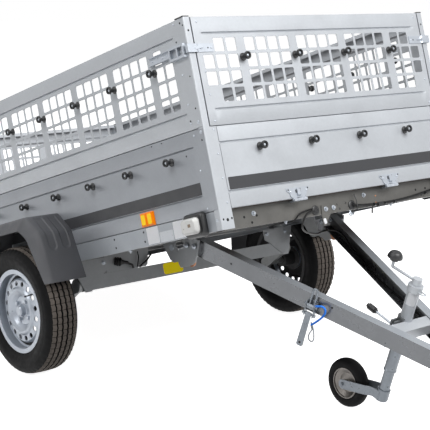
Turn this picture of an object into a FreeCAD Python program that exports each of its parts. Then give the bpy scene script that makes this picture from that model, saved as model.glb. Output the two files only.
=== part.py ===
import FreeCAD, Part
import math
import os

# A single-axle tipping box trailer with mesh sides, shown with its bed tipped on the drawbar.
# Bed frame: X forward from the box's front face, Y left from the centre plane, Z up from the
# underside of the chassis rails. Drawbar frame: X forward along the bar, Z up, origin BAR_X, BAR_Z.
V = FreeCAD.Vector

# box
BOX_LENGTH = 2349.0
BOX_WIDTH = 1310.0
RAIL_HEIGHT = 70.0
PANEL_HEIGHT = 304.0
MESH_HEIGHT = 403.0
WALL = 30.0
SHEET = 2.0
SEAM = 2.0
GATE_GAP = 6.0
POST = 29.0
POST_SHEET = 2.5
STRIP_WIDTH = 60.0
CAP_LENGTH = 48.0
CAP_THICKNESS = 4.0
JOINT_GAP = 0.3
FLOOR_THICKNESS = 12.0
FLOOR_EDGE = 38.0

# windows of the mesh
WINDOW_WIDTH = 48.0
WINDOW_HEIGHT = 50.6
WINDOW_PITCH = 59.3
WINDOW_ROW_PITCH = 62.1
WINDOW_ROWS = 4
GROUP_COLUMNS = 4
GROUP_PITCH = 269.1
TOP_ROW_BELOW_EDGE = 106.0
SIDE_FIRST_RIB = 232.7
GATE_FIRST_RIB = 251.3
GROOVE_WIDTH = 9.0
GROOVE_DEPTH = 3.0
GROOVE_END = 76.0
MESH_TOP_GROOVE = 62.0
MESH_LOW_GROOVE = 60.0
PANEL_TOP_GROOVE = 62.0
PANEL_LOW_GROOVE = 62.0

# tie knobs
KNOB_RADIUS = 15.0
KNOB_NECK = 7.5
KNOB_LENGTH = 34.0
KNOB_FACETS = 8
KNOB_MESH_BELOW_EDGE = 156.0
KNOB_PANEL_BELOW_EDGE = 90.0
KNOB_SHIFT = 15.0

# chassis
RAIL_FLANGE = 40.0
RAIL_SHEET = 2.5
BEAM_SETBACK = 40.0
BEAM_DEPTH = 45.0
BEAM_DROP = 4.0
LAMP_PLATE_LOW = -64.0
GROMMETS = ((-147.0, 16.0), (56.0, 14.0))
GROMMET_RADIUS = 16.5
BEAM_HOLES = ((-27.0, 26.0), (-14.0, 7.5), (24.0, 26.0))
BEAM_HOLE_RADIUS = 4.0
CATCH_OUTLINE = (
    (-113, 31), (-30, 31), (-32, 12), (-62, 3), (-92, -30), (-97, -42), (-106, -47), (-116, -43),
    (-120, -30), (-117, 5),
)
CATCH_SHEET = 3.0
CROSS_WIDTH = 40.0
CROSS_HEIGHT = 56.0
CROSS_X = (-455.0, -610.0, -1075.0, -1720.0)

# gate hinges
HINGE_X = 6.0
HINGE_Z = 66.0
HINGE_Y = 258.0
HINGE_FOOT = 74.0
HINGE_SHEET = 3.0
HINGE_PIN = 3.0
KNUCKLE_RADIUS = 6.0
KNUCKLE_END = 34.0
TONGUE_HALF = 12.0
LEAF_OUTLINE = (
    (-58, 46), (-58, 37), (-45, 28), (-41, 14), (-33, 8), (33, 8), (41, 14), (45, 28), (58, 37), (58, 46),
)
HOOK_OUTLINE = ((3, 110), (8, 104), (9, 84), (3, 78))

# gate latches
LATCH_REAR_X = -234.0
LATCH_LOOP_X = -101.0
LATCH_FRONT_X = -12.0
LATCH_LOW = 649.0
LATCH_HIGH = 680.0
LOOP_LOW = 634.0
LOOP_HIGH = 684.0
LATCH_DEPTH = 14.0
LATCH_SHEET = 2.0
KEEPER_REACH = 114.0
KEEPER_STEP = 43.0
KEEPER_LOW = 645.0
KEEPER_HIGH = 676.0

# lamps
HOLDER_X = (-204.0, -87.0)
HOLDER_Z = (-10.0, 81.0)
HOLDER_DEPTH = 22.0
HOLDER_CHAMFER = 14.0
LENS_X = (-198.0, -98.0)
LENS_Z = (2.0, 68.0)
LENS_DEPTH = 24.0
LENS_CHAMFER = 12.0
REFLECTOR_X = (-470.0, -382.0)
REFLECTOR_Z = (74.0, 128.0)
REFLECTOR_BASE = 3.0
REFLECTOR_DEPTH = 9.0
REFLECTOR_RIM = 4.0
LOBE_WIDTH = 39.0
LAMP_PLATE_SHEET = 3.0
LAMP_PLATE_REACH = (62.0, 296.0)
LAMP_PLATE_TOP = 40.0
REAR_LAMP_REACH = (68.0, 290.0)
REAR_LAMP_Z = (-62.0, 28.0)
REAR_LAMP_DEPTH = 35.0
REAR_LAMP_CHAMFER = 10.0

# running gear
WHEEL_X = -1230.0
WHEEL_Z = -159.0
WHEEL_OUT = 112.0
TYRE_RADIUS = 273.0
DISC_FACE = -30.0
TYRE_WIDTH = 155.0
RIM_RADIUS = 180.0
RIM_SEAT = 165.0
RIM_WIDTH = 128.0
RIM_SHEET = 4.0
DISC_HOLES = 16
DISC_HOLE_RADIUS = 11.5
DISC_HOLE_CIRCLE = 118.0
HUB_RADIUS = 58.0
HUB_LENGTH = 84.0
STUB_RADIUS = 15.0
RUNNING_GAP = 0.05
STUD_CIRCLE = 49.0
STUD_COUNT = 4
STUD_RADIUS = 9.0
AXLE_X = -1075.0
AXLE_Z = -99.0
AXLE_SIZE = 60.0
AXLE_WALL = 4.0
AXLE_INSET = 57.0
WING_FOOT = 136.0
WING_OVERHANG = 52.0
ARM_THICKNESS = 22.0
ARM_RADIUS = 30.0
GUARD_BAND = 165.0
GUARD_OUT = 197.0
GUARD_SHEET = 4.0
GUARD_BOTTOM = -70.0
# half length at the top, top, half length at the middle corner, its height, half length at the foot
GUARD_CORNERS = (174.0, 222.0, 256.0, 141.0, 305.0)
ARCH_CORNERS = (160.0, 172.0, 214.0, 129.0, 297.0)
CHANNEL_EDGES = ((681.0, 717.0), (745.0, 782.0))
CHANNEL_LOW_Z = 84.0
CHANNEL_HIGH_Z = 212.0
CHANNEL_DEPTH = 2.4

# tipping hinge
TIP_ANGLE = 34.4
BAR_X = -483.0
BAR_Z = -103.0
PIN_X = -42.0
PIN_Z = -8.0
PIN_RADIUS = 8.0
LUG_RADIUS = 18.0
BUSH_RADIUS = 24.0
CHEEK_THICKNESS = 5.0
CHEEK_GAP = 6.8
PLATE_THICKNESS = 6.0
PLATE_OUTLINE = (
    (-108, 60), (-68, 86), (-19, 99), (-16, 85), (-11, 33), (-12, 3), (-27, -19), (-87, -62), (-107, -51),
    (-125, 6), (-97, 24),
)
CHEEK_OUTLINE = (
    (-616, -8), (-608, -23), (-606, -52), (-575, -60), (-532, -68), (-514, -70), (-504, -86), (-514, -102),
    (-532, -104), (-570, -100), (-610, -79), (-646, -79), (-667, -64),
)
CHEEK_TOP = (-705, -616)

# drawbar, in its own frame
ARM_TOP = 89.0
ARM_HEIGHT = 70.0
ARM_FLANGE = 42.0
ARM_SHEET = 3.5
ARM_REAR_X = -76.0
ARM_REAR_HALF = 411.5
ARM_FRONT_X = 1105.0
ARM_APEX_X = 1229.0
ARM_BLOCK = (-92.0, -14.0)
CROSSBAR_X = 755.0
CROSSBAR_WIDTH = 57.0
CROSSBAR_HEIGHT = 40.0
CROSSBAR_SHEET = 4.0
COUPLING_BALL_X = 1290.0
BALL_BORE = 25.4
COUPLING_RADIUS = 38.0
COUPLING_TAIL_X = 1040.0
COUPLING_HALF = 32.0
COUPLING_BOTTOM = 20.0
SOCKET_LENGTH = 22.0

TIP_LATCH_X = 483.0

# cables
CABLE_RADIUS = 4.0
BUNDLE_RADIUS = 6.0
WIRE_RADIUS = 3.0
BEAM_CABLE = (
    (-10.0, 56.0, 14.0), (4.0, 63.0, 12.0), (6.0, 82.0, 8.0), (0.0, 120.0, 5.0), (0.0, 170.0, 2.0),
    (0.0, 250.0, 0.0), (0.0, 390.0, 5.0), (0.0, 540.0, 22.0), (0.0, 618.0, 35.0),
)
SIDE_WIRE = (
    (-54.0, -146.0, 22.0), (-34.0, -160.0, 24.0), (-33.0, -186.0, 23.0), (-33.5, -218.0, 18.0),
    (-33.0, -244.0, 10.0), (-33.0, -260.0, -3.0), (-42.0, -272.0, -11.0), (-72.0, -280.0, -11.0),
    (-96.0, -286.0, -4.0), (-98.0, -310.0, 12.0), (-96.0, -460.0, 24.0), (-96.0, -610.0, 30.0),
)
TIP_CABLE = (
    (-56.0, -128.0, 12.0), (-25.0, -174.0, 15.0), (-20.0, -210.0, 11.0), (-26.0, -232.0, -14.0),
    (-52.0, -222.0, -40.0), (-98.0, -170.0, -54.0), (-162.0, -90.0, -62.5), (-240.0, 6.0, -68.0),
    (-312.0, 97.0, -70.3), (-383.5, 181.5, -70.0), (-434.7, 236.4, -68.6), (-473.5, 279.5, -66.8),
    (-494.1, 304.0, -65.0), (-496.2, 318.8, -63.8), (-490.1, 332.4, -62.6), (-477.8, 340.7, -62.1),
    (-470.3, 341.0, -63.2),
)
ARM_CABLE = (
    (-11.2, 50.0, 40.0), (17.0, 40.0, 54.0), (57.0, 30.0, 56.5), (84.0, 25.0, 51.0), (144.0, 18.0, 32.0),
    (211.0, 19.0, 30.0), (296.0, 24.0, 28.5), (353.0, 27.0, 28.0), (408.0, 28.0, 28.0), (456.0, 25.0, 28.5),
    (498.0, 20.0, 30.0), (566.0, 14.0, 35.0), (650.0, 12.0, 39.0), (715.0, 12.0, 41.0), (815.0, 15.0, 34.0),
)
PLUG_CABLE = ((862.0, 62.0, 52.0), (866.0, 62.0, 108.0), (876.0, 62.0, 117.0), (915.0, 62.0, 117.0))

# jockey wheel
JOCKEY_X = 742.0
JOCKEY_RADIUS = 24.0
JOCKEY_WALL = 2.5
JOCKEY_TOP = 207.0
JOCKEY_BOTTOM = -145.0
COLLAR_RADIUS = 30.0
COLLAR_HEIGHT = 27.0
CAP_RADIUS = 19.0
CAP_HEIGHT = 27.0
LEG_RADIUS = 21.0
LEG_BOTTOM = -278.1
LEG_TOP = -60.0
FORK_TOP = -236.0
FORK_HEIGHT = 38.0
FORK_TRAIL = 174.0
FORK_DROP = -309.0
FORK_HALF = 33.0
FORK_SHEET = 5.0
JOCKEY_WHEEL_RADIUS = 100.0
JOCKEY_WHEEL_WIDTH = 50.0
JOCKEY_RIM_RADIUS = 62.0
JOCKEY_AXLE_RADIUS = 7.0
CRANK_REACH = 128.0
CRANK_RADIUS = 6.0
JAW_WALL = 8.0
JAW_Z = (44.0, 96.0)
LEVER_REACH = 129.0
LEVER_RADIUS = 5.0

HALF = BOX_WIDTH / 2
AXLE_HALF = HALF - AXLE_INSET
PLATE_Y = ARM_REAR_HALF + JOINT_GAP
SEAM_Z = RAIL_HEIGHT + PANEL_HEIGHT
TOP_Z = SEAM_Z + MESH_HEIGHT
FLOOR_TOP = RAIL_HEIGHT + FLOOR_THICKNESS
parts = {}


def box(x0, x1, y0, y1, z0, z1):
    return Part.makeBox(x1 - x0, y1 - y0, z1 - z0, V(x0, y0, z0))


def prism(points, direction):
    wire = Part.makePolygon(list(points) + [points[0]])
    return Part.Face(wire).extrude(direction)


def prism_xz(points, y0, y1):
    return prism([V(x, y0, z) for x, z in points], V(0, y1 - y0, 0))


def prism_xy(points, z0, z1):
    return prism([V(x, y, z0) for x, y in points], V(0, 0, z1 - z0))


def prism_yz(points, x0, x1):
    return prism([V(x0, y, z) for y, z in points], V(x1 - x0, 0, 0))


def rod(start, end, radius):
    return Part.makeCylinder(radius, (end - start).Length, start, end - start)


def lathe_y(points):
    # a closed outline of (radius, y) turned about the Y axis
    wire = Part.makePolygon([V(r, y, 0) for r, y in points] + [V(points[0][0], points[0][1], 0)])
    return Part.Face(wire).revolve(V(0, 0, 0), V(0, 1, 0), 360)


def fuse(first, *others):
    return first.fuse(list(others)).removeSplitter()


def mirror_y(shape):
    return shape.mirror(V(0, 0, 0), V(0, 1, 0))


def both_sides(shape):
    return [shape, mirror_y(shape)]


def lathe_z(points, x):
    # a closed outline of (radius, z) turned about a vertical axis at x
    wire = Part.makePolygon([V(x + r, 0, z) for r, z in points] + [V(x + points[0][0], 0, points[0][1])])
    return Part.Face(wire).revolve(V(x, 0, 0), V(0, 0, 1), 360)


def round_prism(sides, x, z, radius, y0, y1):
    # a many-sided hole along Y, cheaper in faces than a round one
    ring = []
    for n in range(sides):
        turn = 2 * math.pi * (n + 0.5) / sides
        ring.append((x + radius * math.cos(turn), z + radius * math.sin(turn)))
    return prism_xz(ring, y0, y1)


def polygon_ring(centre, along, radius, sides):
    # corners of a regular polygon about a centre, square to a direction
    across = along.cross(V(0, 0, 1))
    if across.Length < 0.01:
        across = V(0, 1, 0)
    across.normalize()
    upward = across.cross(along).normalize()
    ring = []
    for n in range(sides):
        turn = 2 * math.pi * (n + 0.5) / sides
        ring.append(centre + across * (radius * math.cos(turn)) + upward * (radius * math.sin(turn)))
    return ring


def facet_solid(rings):
    # a closed solid of flat faces between rings of equal count, capped at both ends
    faces = [Part.Face(Part.makePolygon(ring + ring[:1])) for ring in (rings[0], rings[-1])]
    count = len(rings[0])
    for near, far in zip(rings[:-1], rings[1:]):
        for n in range(count):
            m = (n + 1) % count
            faces.append(Part.Face(Part.makePolygon([near[n], near[m], far[m], far[n], near[n]])))
    solid = Part.Solid(Part.Shell(faces))
    if solid.Volume < 0:
        solid.reverse()
    return solid


def bent_bar(points, radius, sides=8):
    # a many-sided bar along straight runs with mitred corners
    directions = [(after - before).normalize() for before, after in zip(points[:-1], points[1:])]
    rings = [polygon_ring(points[0], directions[0], radius, sides)]
    for n in range(1, len(points)):
        along = directions[n - 1]
        mitre = along + directions[min(n, len(directions) - 1)]
        ring = []
        for corner in rings[-1]:
            reach = (points[n] - corner).dot(mitre) / along.dot(mitre)
            ring.append(corner + along * reach)
        rings.append(ring)
    return facet_solid(rings)


def tube(points, radius):
    # a cable of eight flats on straight runs joined by tangent arcs, each as large as its runs allow
    edges = []
    bends = []
    start = points[0]
    for before, corner, after in zip(points[:-2], points[1:-1], points[2:]):
        came = corner - before
        goes = after - corner
        cut = 0.45 * min(came.Length, goes.Length)
        came.normalize()
        goes.normalize()
        half_turn = came.getAngle(goes) / 2
        bend = cut / math.tan(half_turn)
        bends.append(round(bend))
        first = corner - came * cut
        last = corner + goes * cut
        side = (goes - came).normalize()
        middle = corner + side * (bend * (1 / math.cos(half_turn) - 1))
        if (first - start).Length > 0.001:
            edges.append(Part.makeLine(start, first))
        edges.append(Part.Arc(first, middle, last).toShape())
        start = last
    edges.append(Part.makeLine(start, points[-1]))
    path = Part.Wire(edges)
    print("cable length", round(path.Length), "bend radii", bends)
    ring = polygon_ring(points[0], (points[1] - points[0]).normalize(), radius, 8)
    return path.makePipeShell([Part.makePolygon(ring + ring[:1])], True, False)


def bar_to_bed(x, z):
    # a point of the drawbar's frame in the bed's frame
    tip = math.radians(TIP_ANGLE)
    return BAR_X + x * math.cos(tip) + z * math.sin(tip), BAR_Z - x * math.sin(tip) + z * math.cos(tip)


def moved(shape, x=0.0, y=0.0, z=0.0):
    copy = shape.copy()
    copy.translate(V(x, y, z))
    return copy


def turned(shape, angle, axis=V(0, 0, 1), centre=V(0, 0, 0)):
    copy = shape.copy()
    copy.rotate(centre, axis, angle)
    return copy


def window_columns(first_rib, length, edge_columns):
    # column centres: full groups between the ribs and short groups at both ends
    ribs = []
    x = first_rib
    while x <= length - first_rib + 1.0:
        ribs.append(x)
        x += GROUP_PITCH
    columns = []
    for rib in ribs[:-1]:
        middle = rib + GROUP_PITCH / 2
        for n in range(GROUP_COLUMNS):
            columns.append((middle + (n - (GROUP_COLUMNS - 1) / 2) * WINDOW_PITCH, 0))
    inset = GROUP_PITCH / 2 - (GROUP_COLUMNS - 1) / 2 * WINDOW_PITCH
    for n in range(edge_columns):
        step = inset + n * WINDOW_PITCH
        columns.append((ribs[0] - step, n))
        columns.append((ribs[-1] + step, n))
    return columns, ribs


def window_row_z(row):
    return TOP_Z - TOP_ROW_BELOW_EDGE - row * WINDOW_ROW_PITCH


def rectangle(x0, x1, z0, z1):
    corners = [V(x0, 0, z0), V(x1, 0, z0), V(x1, 0, z1), V(x0, 0, z1), V(x0, 0, z0)]
    return Part.makePolygon(corners)


def panel(x0, x1, z0, z1, grooves, holes, end_flanges, inset=0.0):
    # a folded sheet whose outer face lies on y = 0 and looks along -Y; its folds stop short of the ends
    wires = [rectangle(x0, x1, z0, z1)] + [rectangle(*hole) for hole in holes]
    skin = Part.makeFace(wires, "Part::FaceMakerBullseye").extrude(V(0, SHEET, 0))
    f0 = x0 + inset
    f1 = x1 - inset
    folds = [box(f0, f1, 0, WALL, z1 - SHEET, z1), box(f0, f1, 0, WALL, z0, z0 + SHEET)]
    folds.append(box(f0, f1, WALL - SHEET, WALL, z1 - 18.0, z1))
    folds.append(box(f0, f1, WALL - SHEET, WALL, z0, z0 + 18.0))
    if end_flanges:
        folds.append(box(x0, x0 + SHEET, 0, WALL, z0, z1))
        folds.append(box(x1 - SHEET, x1, 0, WALL, z0, z1))
    g0 = x0 + GROOVE_END
    g1 = x1 - GROOVE_END
    half = GROOVE_WIDTH / 2
    cuts = []
    for z in grooves:
        folds.append(box(g0 - half, g1 + half, SHEET, SHEET + GROOVE_DEPTH, z - half - 2, z + half + 2))
        profile = [V(g0, 0, z - half), V(g0, 0, z + half), V(g0, GROOVE_DEPTH, z)]
        cuts.append(prism(profile, V(g1 - g0, 0, 0)))
    return fuse(skin, *folds).cut(cuts)


def lower_panel(x0, x1, end_flanges, inset=0.0):
    grooves = [SEAM_Z - PANEL_TOP_GROOVE, RAIL_HEIGHT + PANEL_LOW_GROOVE]
    return panel(x0, x1, RAIL_HEIGHT + SEAM, SEAM_Z - SEAM / 2, grooves, [], end_flanges, inset)


def mesh_panel(length, first_rib, edge_columns, edge_rows, ends, inset):
    columns, ribs = window_columns(first_rib, length, edge_columns)
    holes = []
    for x, edge in columns:
        for row in range(WINDOW_ROWS):
            if edge and row not in edge_rows[edge]:
                continue
            z = window_row_z(row)
            half_w = WINDOW_WIDTH / 2
            half_h = WINDOW_HEIGHT / 2
            holes.append((x - half_w, x + half_w, z - half_h, z + half_h))
    grooves = [TOP_Z - MESH_TOP_GROOVE, SEAM_Z + MESH_LOW_GROOVE]
    end_flanges = inset == 0.0
    shape = panel(ends, length - ends, SEAM_Z + SEAM / 2, TOP_Z, grooves, holes, end_flanges, inset)
    f0 = ends + inset
    foot = box(f0, length - f0, 6, WALL - 6, SEAM_Z - SEAM / 2, SEAM_Z + SEAM)
    return fuse(shape, foot), ribs


def spool(x, z):
    # a tie knob facing -Y, of flat facets: wide base, thin neck, thick round head
    head = KNOB_RADIUS - 3
    stations = (
        (0.0, KNOB_RADIUS), (-8.0, KNOB_NECK), (-20.0, KNOB_NECK), (-24.0, KNOB_RADIUS),
        (-KNOB_LENGTH, head),
    )
    rings = []
    for y, radius in stations:
        ring = []
        for n in range(KNOB_FACETS):
            turn = 2 * math.pi * (n + 0.5) / KNOB_FACETS
            ring.append(V(x + radius * math.cos(turn), y, z + radius * math.sin(turn)))
        rings.append(ring)
    return facet_solid(rings)


def right_side(shape):
    return moved(shape, y=-HALF)


def front_gate(shape):
    return turned(shape, 90)


def rear_gate(shape):
    return moved(turned(shape, -90), x=-BOX_LENGTH)


def to_rear(shape):
    # the rear end mirrors the front end about the box's middle
    return moved(shape.mirror(V(0, 0, 0), V(1, 0, 0)), x=-BOX_LENGTH)


def build_sides():
    x0 = -BOX_LENGTH + POST_SHEET
    x1 = -POST_SHEET
    inset = POST - POST_SHEET + JOINT_GAP
    lower = right_side(lower_panel(x0, x1, False, inset))
    parts["side_panel_right"] = lower
    parts["side_panel_left"] = mirror_y(lower)
    rows = {0: range(WINDOW_ROWS), 1: (1, 2, 3)}
    shape, ribs = mesh_panel(BOX_LENGTH, SIDE_FIRST_RIB, 2, rows, POST_SHEET, inset)
    mesh = right_side(moved(shape, x=-BOX_LENGTH))
    parts["mesh_side_right"] = mesh
    parts["mesh_side_left"] = mirror_y(mesh)
    knobs = []
    for rib in ribs:
        x = -rib + KNOB_SHIFT
        knobs.append(right_side(spool(x, TOP_Z - KNOB_MESH_BELOW_EDGE)))
        knobs.append(right_side(spool(x, SEAM_Z - KNOB_PANEL_BELOW_EDGE)))
    pairs = [shape for one in knobs for shape in both_sides(one)]
    parts["side_knobs"] = Part.makeCompound(pairs)


def build_gates():
    lower_half = HALF - STRIP_WIDTH - GATE_GAP
    mesh_half = HALF - POST - GATE_GAP
    lower = lower_panel(-lower_half, lower_half, True)
    rows = {0: range(WINDOW_ROWS), 1: range(WINDOW_ROWS), 2: (1, 2)}
    shape, ribs = mesh_panel(BOX_WIDTH, GATE_FIRST_RIB, 3, rows, HALF - mesh_half, 0.0)
    mesh = moved(shape, x=-HALF)
    knobs = []
    for rib in ribs:
        x = rib - HALF
        knobs.append(spool(x, TOP_Z - KNOB_MESH_BELOW_EDGE))
        knobs.append(spool(x, SEAM_Z - KNOB_PANEL_BELOW_EDGE))
    knobs = Part.makeCompound(knobs)
    for name, place in (("front", front_gate), ("rear", rear_gate)):
        parts[name + "_panel"] = place(lower)
        parts[name + "_mesh"] = place(mesh)
        parts[name + "_knobs"] = place(knobs)


def build_posts():
    inner = POST - POST_SHEET
    tube = box(-POST, 0, -HALF, -HALF + POST, -BEAM_DROP + 3, TOP_Z)
    outer_edge = [edge for edge in tube.Edges if edge.BoundBox.XMin > -1 and edge.BoundBox.YMax < -HALF + 1]
    tube = tube.makeFillet(5.0, outer_edge)
    side_wall = SHEET + POST_SHEET
    hollow = box(-inner, -POST_SHEET, -HALF + side_wall, -HALF + inner, -BEAM_DROP, TOP_Z + 1)
    strip = box(-POST_SHEET, 0, -HALF + POST / 2, -HALF + STRIP_WIDTH, -BEAM_DROP + 3, SEAM_Z - SEAM / 2)
    side_cut = box(-2 * POST, -POST_SHEET, -HALF - 1, -HALF + SHEET, RAIL_HEIGHT + SEAM, TOP_Z + 1)
    post = fuse(tube, strip).cut([hollow, side_cut])
    posts = both_sides(post) + both_sides(to_rear(post))
    parts["corner_posts"] = Part.makeCompound(posts)
    cap = box(-CAP_LENGTH, 0, -HALF, -HALF + POST, TOP_Z, TOP_Z + CAP_THICKNESS)
    caps = both_sides(cap) + both_sides(to_rear(cap))
    parts["post_caps"] = Part.makeCompound(caps)


def channel_y(x0, x1, z0, open_rear):
    # a C section between the side rails with its web at the front or at the rear
    half = HALF - RAIL_FLANGE
    z1 = RAIL_HEIGHT
    sheet = RAIL_SHEET
    block = box(x0, x1, -half, half, z0, z1)
    if open_rear:
        hollow = box(x0 - 1, x1 - sheet, -half - 1, half + 1, z0 + sheet, z1 - sheet)
    else:
        hollow = box(x0 + sheet, x1 + 1, -half - 1, half + 1, z0 + sheet, z1 - sheet)
    return block.cut(hollow)


def build_chassis():
    end = POST + JOINT_GAP
    rail = box(-BOX_LENGTH + end, -end, -HALF, -HALF + RAIL_FLANGE, 0, RAIL_HEIGHT)
    hollow = box(-BOX_LENGTH, 0, -HALF + RAIL_SHEET, 0, RAIL_SHEET, RAIL_HEIGHT - RAIL_SHEET)
    rail = rail.cut(hollow)
    parts["chassis_rails"] = Part.makeCompound(both_sides(rail))
    front = channel_y(-BEAM_SETBACK - BEAM_DEPTH, -BEAM_SETBACK, -BEAM_DROP, True)
    holes = []
    for y, z in GROMMETS:
        centre = V(-BEAM_SETBACK - 9, y, z)
        holes.append(Part.makeCylinder(GROMMET_RADIUS, 20, centre, V(1, 0, 0)))
    for y, z in BEAM_HOLES:
        holes.append(Part.makeCylinder(BEAM_HOLE_RADIUS, 20, V(-BEAM_SETBACK - 9, y, z), V(1, 0, 0)))
    catch = prism_yz(CATCH_OUTLINE, -BEAM_SETBACK, -BEAM_SETBACK + CATCH_SHEET)
    parts["front_beam"] = front.cut(holes).fuse(catch)
    rear_x = -BOX_LENGTH + BEAM_SETBACK
    rear = channel_y(rear_x, rear_x + BEAM_DEPTH, -BEAM_DROP, False)
    near, far = LAMP_PLATE_REACH
    back = rear_x - LAMP_PLATE_SHEET
    plate = box(back, rear_x, -HALF + near, -HALF + far, LAMP_PLATE_LOW, LAMP_PLATE_TOP)
    parts["rear_beam"] = fuse(rear, *both_sides(plate))
    members = []
    for x in CROSS_X:
        rear_x = x - CROSS_WIDTH / 2
        members.append(channel_y(rear_x, rear_x + CROSS_WIDTH, RAIL_HEIGHT - CROSS_HEIGHT, True))
    parts["cross_members"] = Part.makeCompound(members)
    edge = HALF - WALL
    floor = box(-BOX_LENGTH + FLOOR_EDGE, -FLOOR_EDGE, -edge, edge, RAIL_HEIGHT, FLOOR_TOP)
    parts["floor"] = floor


def tyre(radius, width, seat, seat_width):
    half = width / 2
    shoulder = radius - 9.0
    wall_r = (radius + seat) / 2
    bead = seat_width / 2
    outline = [
        (seat, -bead), (seat + 14, -bead - 2.2), (seat + 22, -bead - 6), (wall_r, -half),
        (shoulder - 12, -half + 3), (shoulder, -half + 12), (radius, -half + 30),
        (radius, half - 30), (shoulder, half - 12), (shoulder - 12, half - 3),
        (wall_r, half), (seat + 22, bead + 6), (seat + 14, bead + 2.2), (seat, bead),
    ]
    return lathe_y(outline)


def rim():
    # a drop-centre rim with its pierced disc; the outer side looks along -Y
    half = RIM_WIDTH / 2
    t = RIM_SHEET
    seat = RIM_SEAT
    well = seat - 22.0
    barrel = lathe_y([
        (RIM_RADIUS, -half), (RIM_RADIUS, -half + t), (seat, -half + t + 2), (seat, -30),
        (well, -18), (well, 22), (seat, 34), (seat, half - t - 2), (RIM_RADIUS, half - t),
        (RIM_RADIUS, half), (seat - t, half - 1), (seat - t, 32), (well - t, 20), (well - t, -16),
        (seat - t, -28), (seat - t, -half + 1),
    ])
    f = DISC_FACE
    disc = lathe_y([
        (30.0, f - 4), (60.0, f - 4), (74.0, f - 18), (88.0, f - 27), (97.0, f - 25), (105.0, f - 17),
        (131.0, f - 14), (well - t, f - 6), (well - t, f + 22), (well - t - 4, f + 22),
        (well - t - 4, f - 4), (129.0, f - 10), (105.0, f - 13), (97.0, f - 21), (88.0, f - 23),
        (76.0, f - 15), (62.0, f), (30.0, f),
    ])
    holes = []
    for n in range(DISC_HOLES):
        turn = 2 * math.pi * n / DISC_HOLES
        x = DISC_HOLE_CIRCLE * math.cos(turn)
        z = DISC_HOLE_CIRCLE * math.sin(turn)
        holes.append(round_prism(12, x, z, DISC_HOLE_RADIUS, f - 40, f + 10))
    return fuse(barrel, disc.cut(holes))


def hub():
    # bearing hub behind the disc with wheel bolts and a grease cap in front of it
    f = DISC_FACE
    bore = STUB_RADIUS + RUNNING_GAP
    end = f + HUB_LENGTH
    drum = lathe_y([
        (bore, f), (HUB_RADIUS, f), (HUB_RADIUS, f + 12), (34.0, f + 18), (34.0, end), (bore, end),
    ])
    cap = lathe_y([
        (0.0, f), (0.0, f - 30), (18.0, f - 30), (22.0, f - 26), (24.0, f - 6), (28.0, f - 4), (28.0, f),
    ])
    pieces = [drum.fuse(cap)]
    for n in range(STUD_COUNT):
        turn = 2 * math.pi * (n + 0.5) / STUD_COUNT
        x = STUD_CIRCLE * math.cos(turn)
        z = STUD_CIRCLE * math.sin(turn)
        pieces.append(round_prism(6, x, z, STUD_RADIUS, f - 14, f - 4))
    return Part.makeCompound(pieces)


def build_wheels():
    place = V(WHEEL_X, -HALF - WHEEL_OUT, WHEEL_Z)
    tyre_ring = tyre(TYRE_RADIUS, TYRE_WIDTH, RIM_SEAT, RIM_WIDTH - 2 * RIM_SHEET - 6)
    wheel = {"tyre": tyre_ring, "rim": rim(), "hub": hub()}
    for name, shape in wheel.items():
        right = moved(shape, place.x, place.y, place.z)
        parts[name + "_right"] = right
        parts[name + "_left"] = mirror_y(right)


def build_axle():
    a = AXLE_SIZE / 2
    w = a - AXLE_WALL
    tube = box(AXLE_X - a, AXLE_X + a, -AXLE_HALF, AXLE_HALF, AXLE_Z - a, AXLE_Z + a)
    hollow = box(AXLE_X - w, AXLE_X + w, -AXLE_HALF - 1, AXLE_HALF + 1, AXLE_Z - w, AXLE_Z + w)
    parts["axle_tube"] = tube.cut(hollow)
    front = AXLE_X + a
    foot = -AXLE_HALF + WING_FOOT
    tip = -AXLE_HALF - WING_OVERHANG
    low = AXLE_Z - a - 5
    wing = prism_yz([
        (foot, 0), (tip, 0), (tip + 10, -24), (-AXLE_HALF + 2, low), (-AXLE_HALF + 32, low),
        (foot - 26, -66), (foot, -50),
    ], front, front + 4)
    under = RAIL_HEIGHT - CROSS_HEIGHT
    side = box(AXLE_X - a - 4, front, -AXLE_HALF + 2, -AXLE_HALF + 8, AXLE_Z + a, under)
    rear = box(AXLE_X - a - 4, AXLE_X - a, -AXLE_HALF + 2, -AXLE_HALF + 40, AXLE_Z - a, under)
    parts["axle_brackets"] = Part.makeCompound(both_sides(fuse(wing, side, rear)))
    y1 = -AXLE_HALF
    y0 = y1 - ARM_THICKNESS
    eye = rod(V(AXLE_X, y0, AXLE_Z), V(AXLE_X, y1, AXLE_Z), ARM_RADIUS)
    end = rod(V(WHEEL_X, y0, WHEEL_Z), V(WHEEL_X, y1, WHEEL_Z), ARM_RADIUS - 4)
    dx = WHEEL_X - AXLE_X
    dz = WHEEL_Z - AXLE_Z
    length = math.hypot(dx, dz)
    nx = -dz / length * (ARM_RADIUS - 6)
    nz = dx / length * (ARM_RADIUS - 6)
    web = prism_xz([
        (AXLE_X + nx, AXLE_Z + nz), (WHEEL_X + nx, WHEEL_Z + nz),
        (WHEEL_X - nx, WHEEL_Z - nz), (AXLE_X - nx, AXLE_Z - nz),
    ], y0, y1)
    hub_face = -HALF - WHEEL_OUT + DISC_FACE
    stub = rod(V(WHEEL_X, y1, WHEEL_Z), V(WHEEL_X, hub_face + 1, WHEEL_Z), STUB_RADIUS)
    arm = fuse(eye, end, web, stub)
    parts["swing_arms"] = Part.makeCompound(both_sides(arm))


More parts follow.
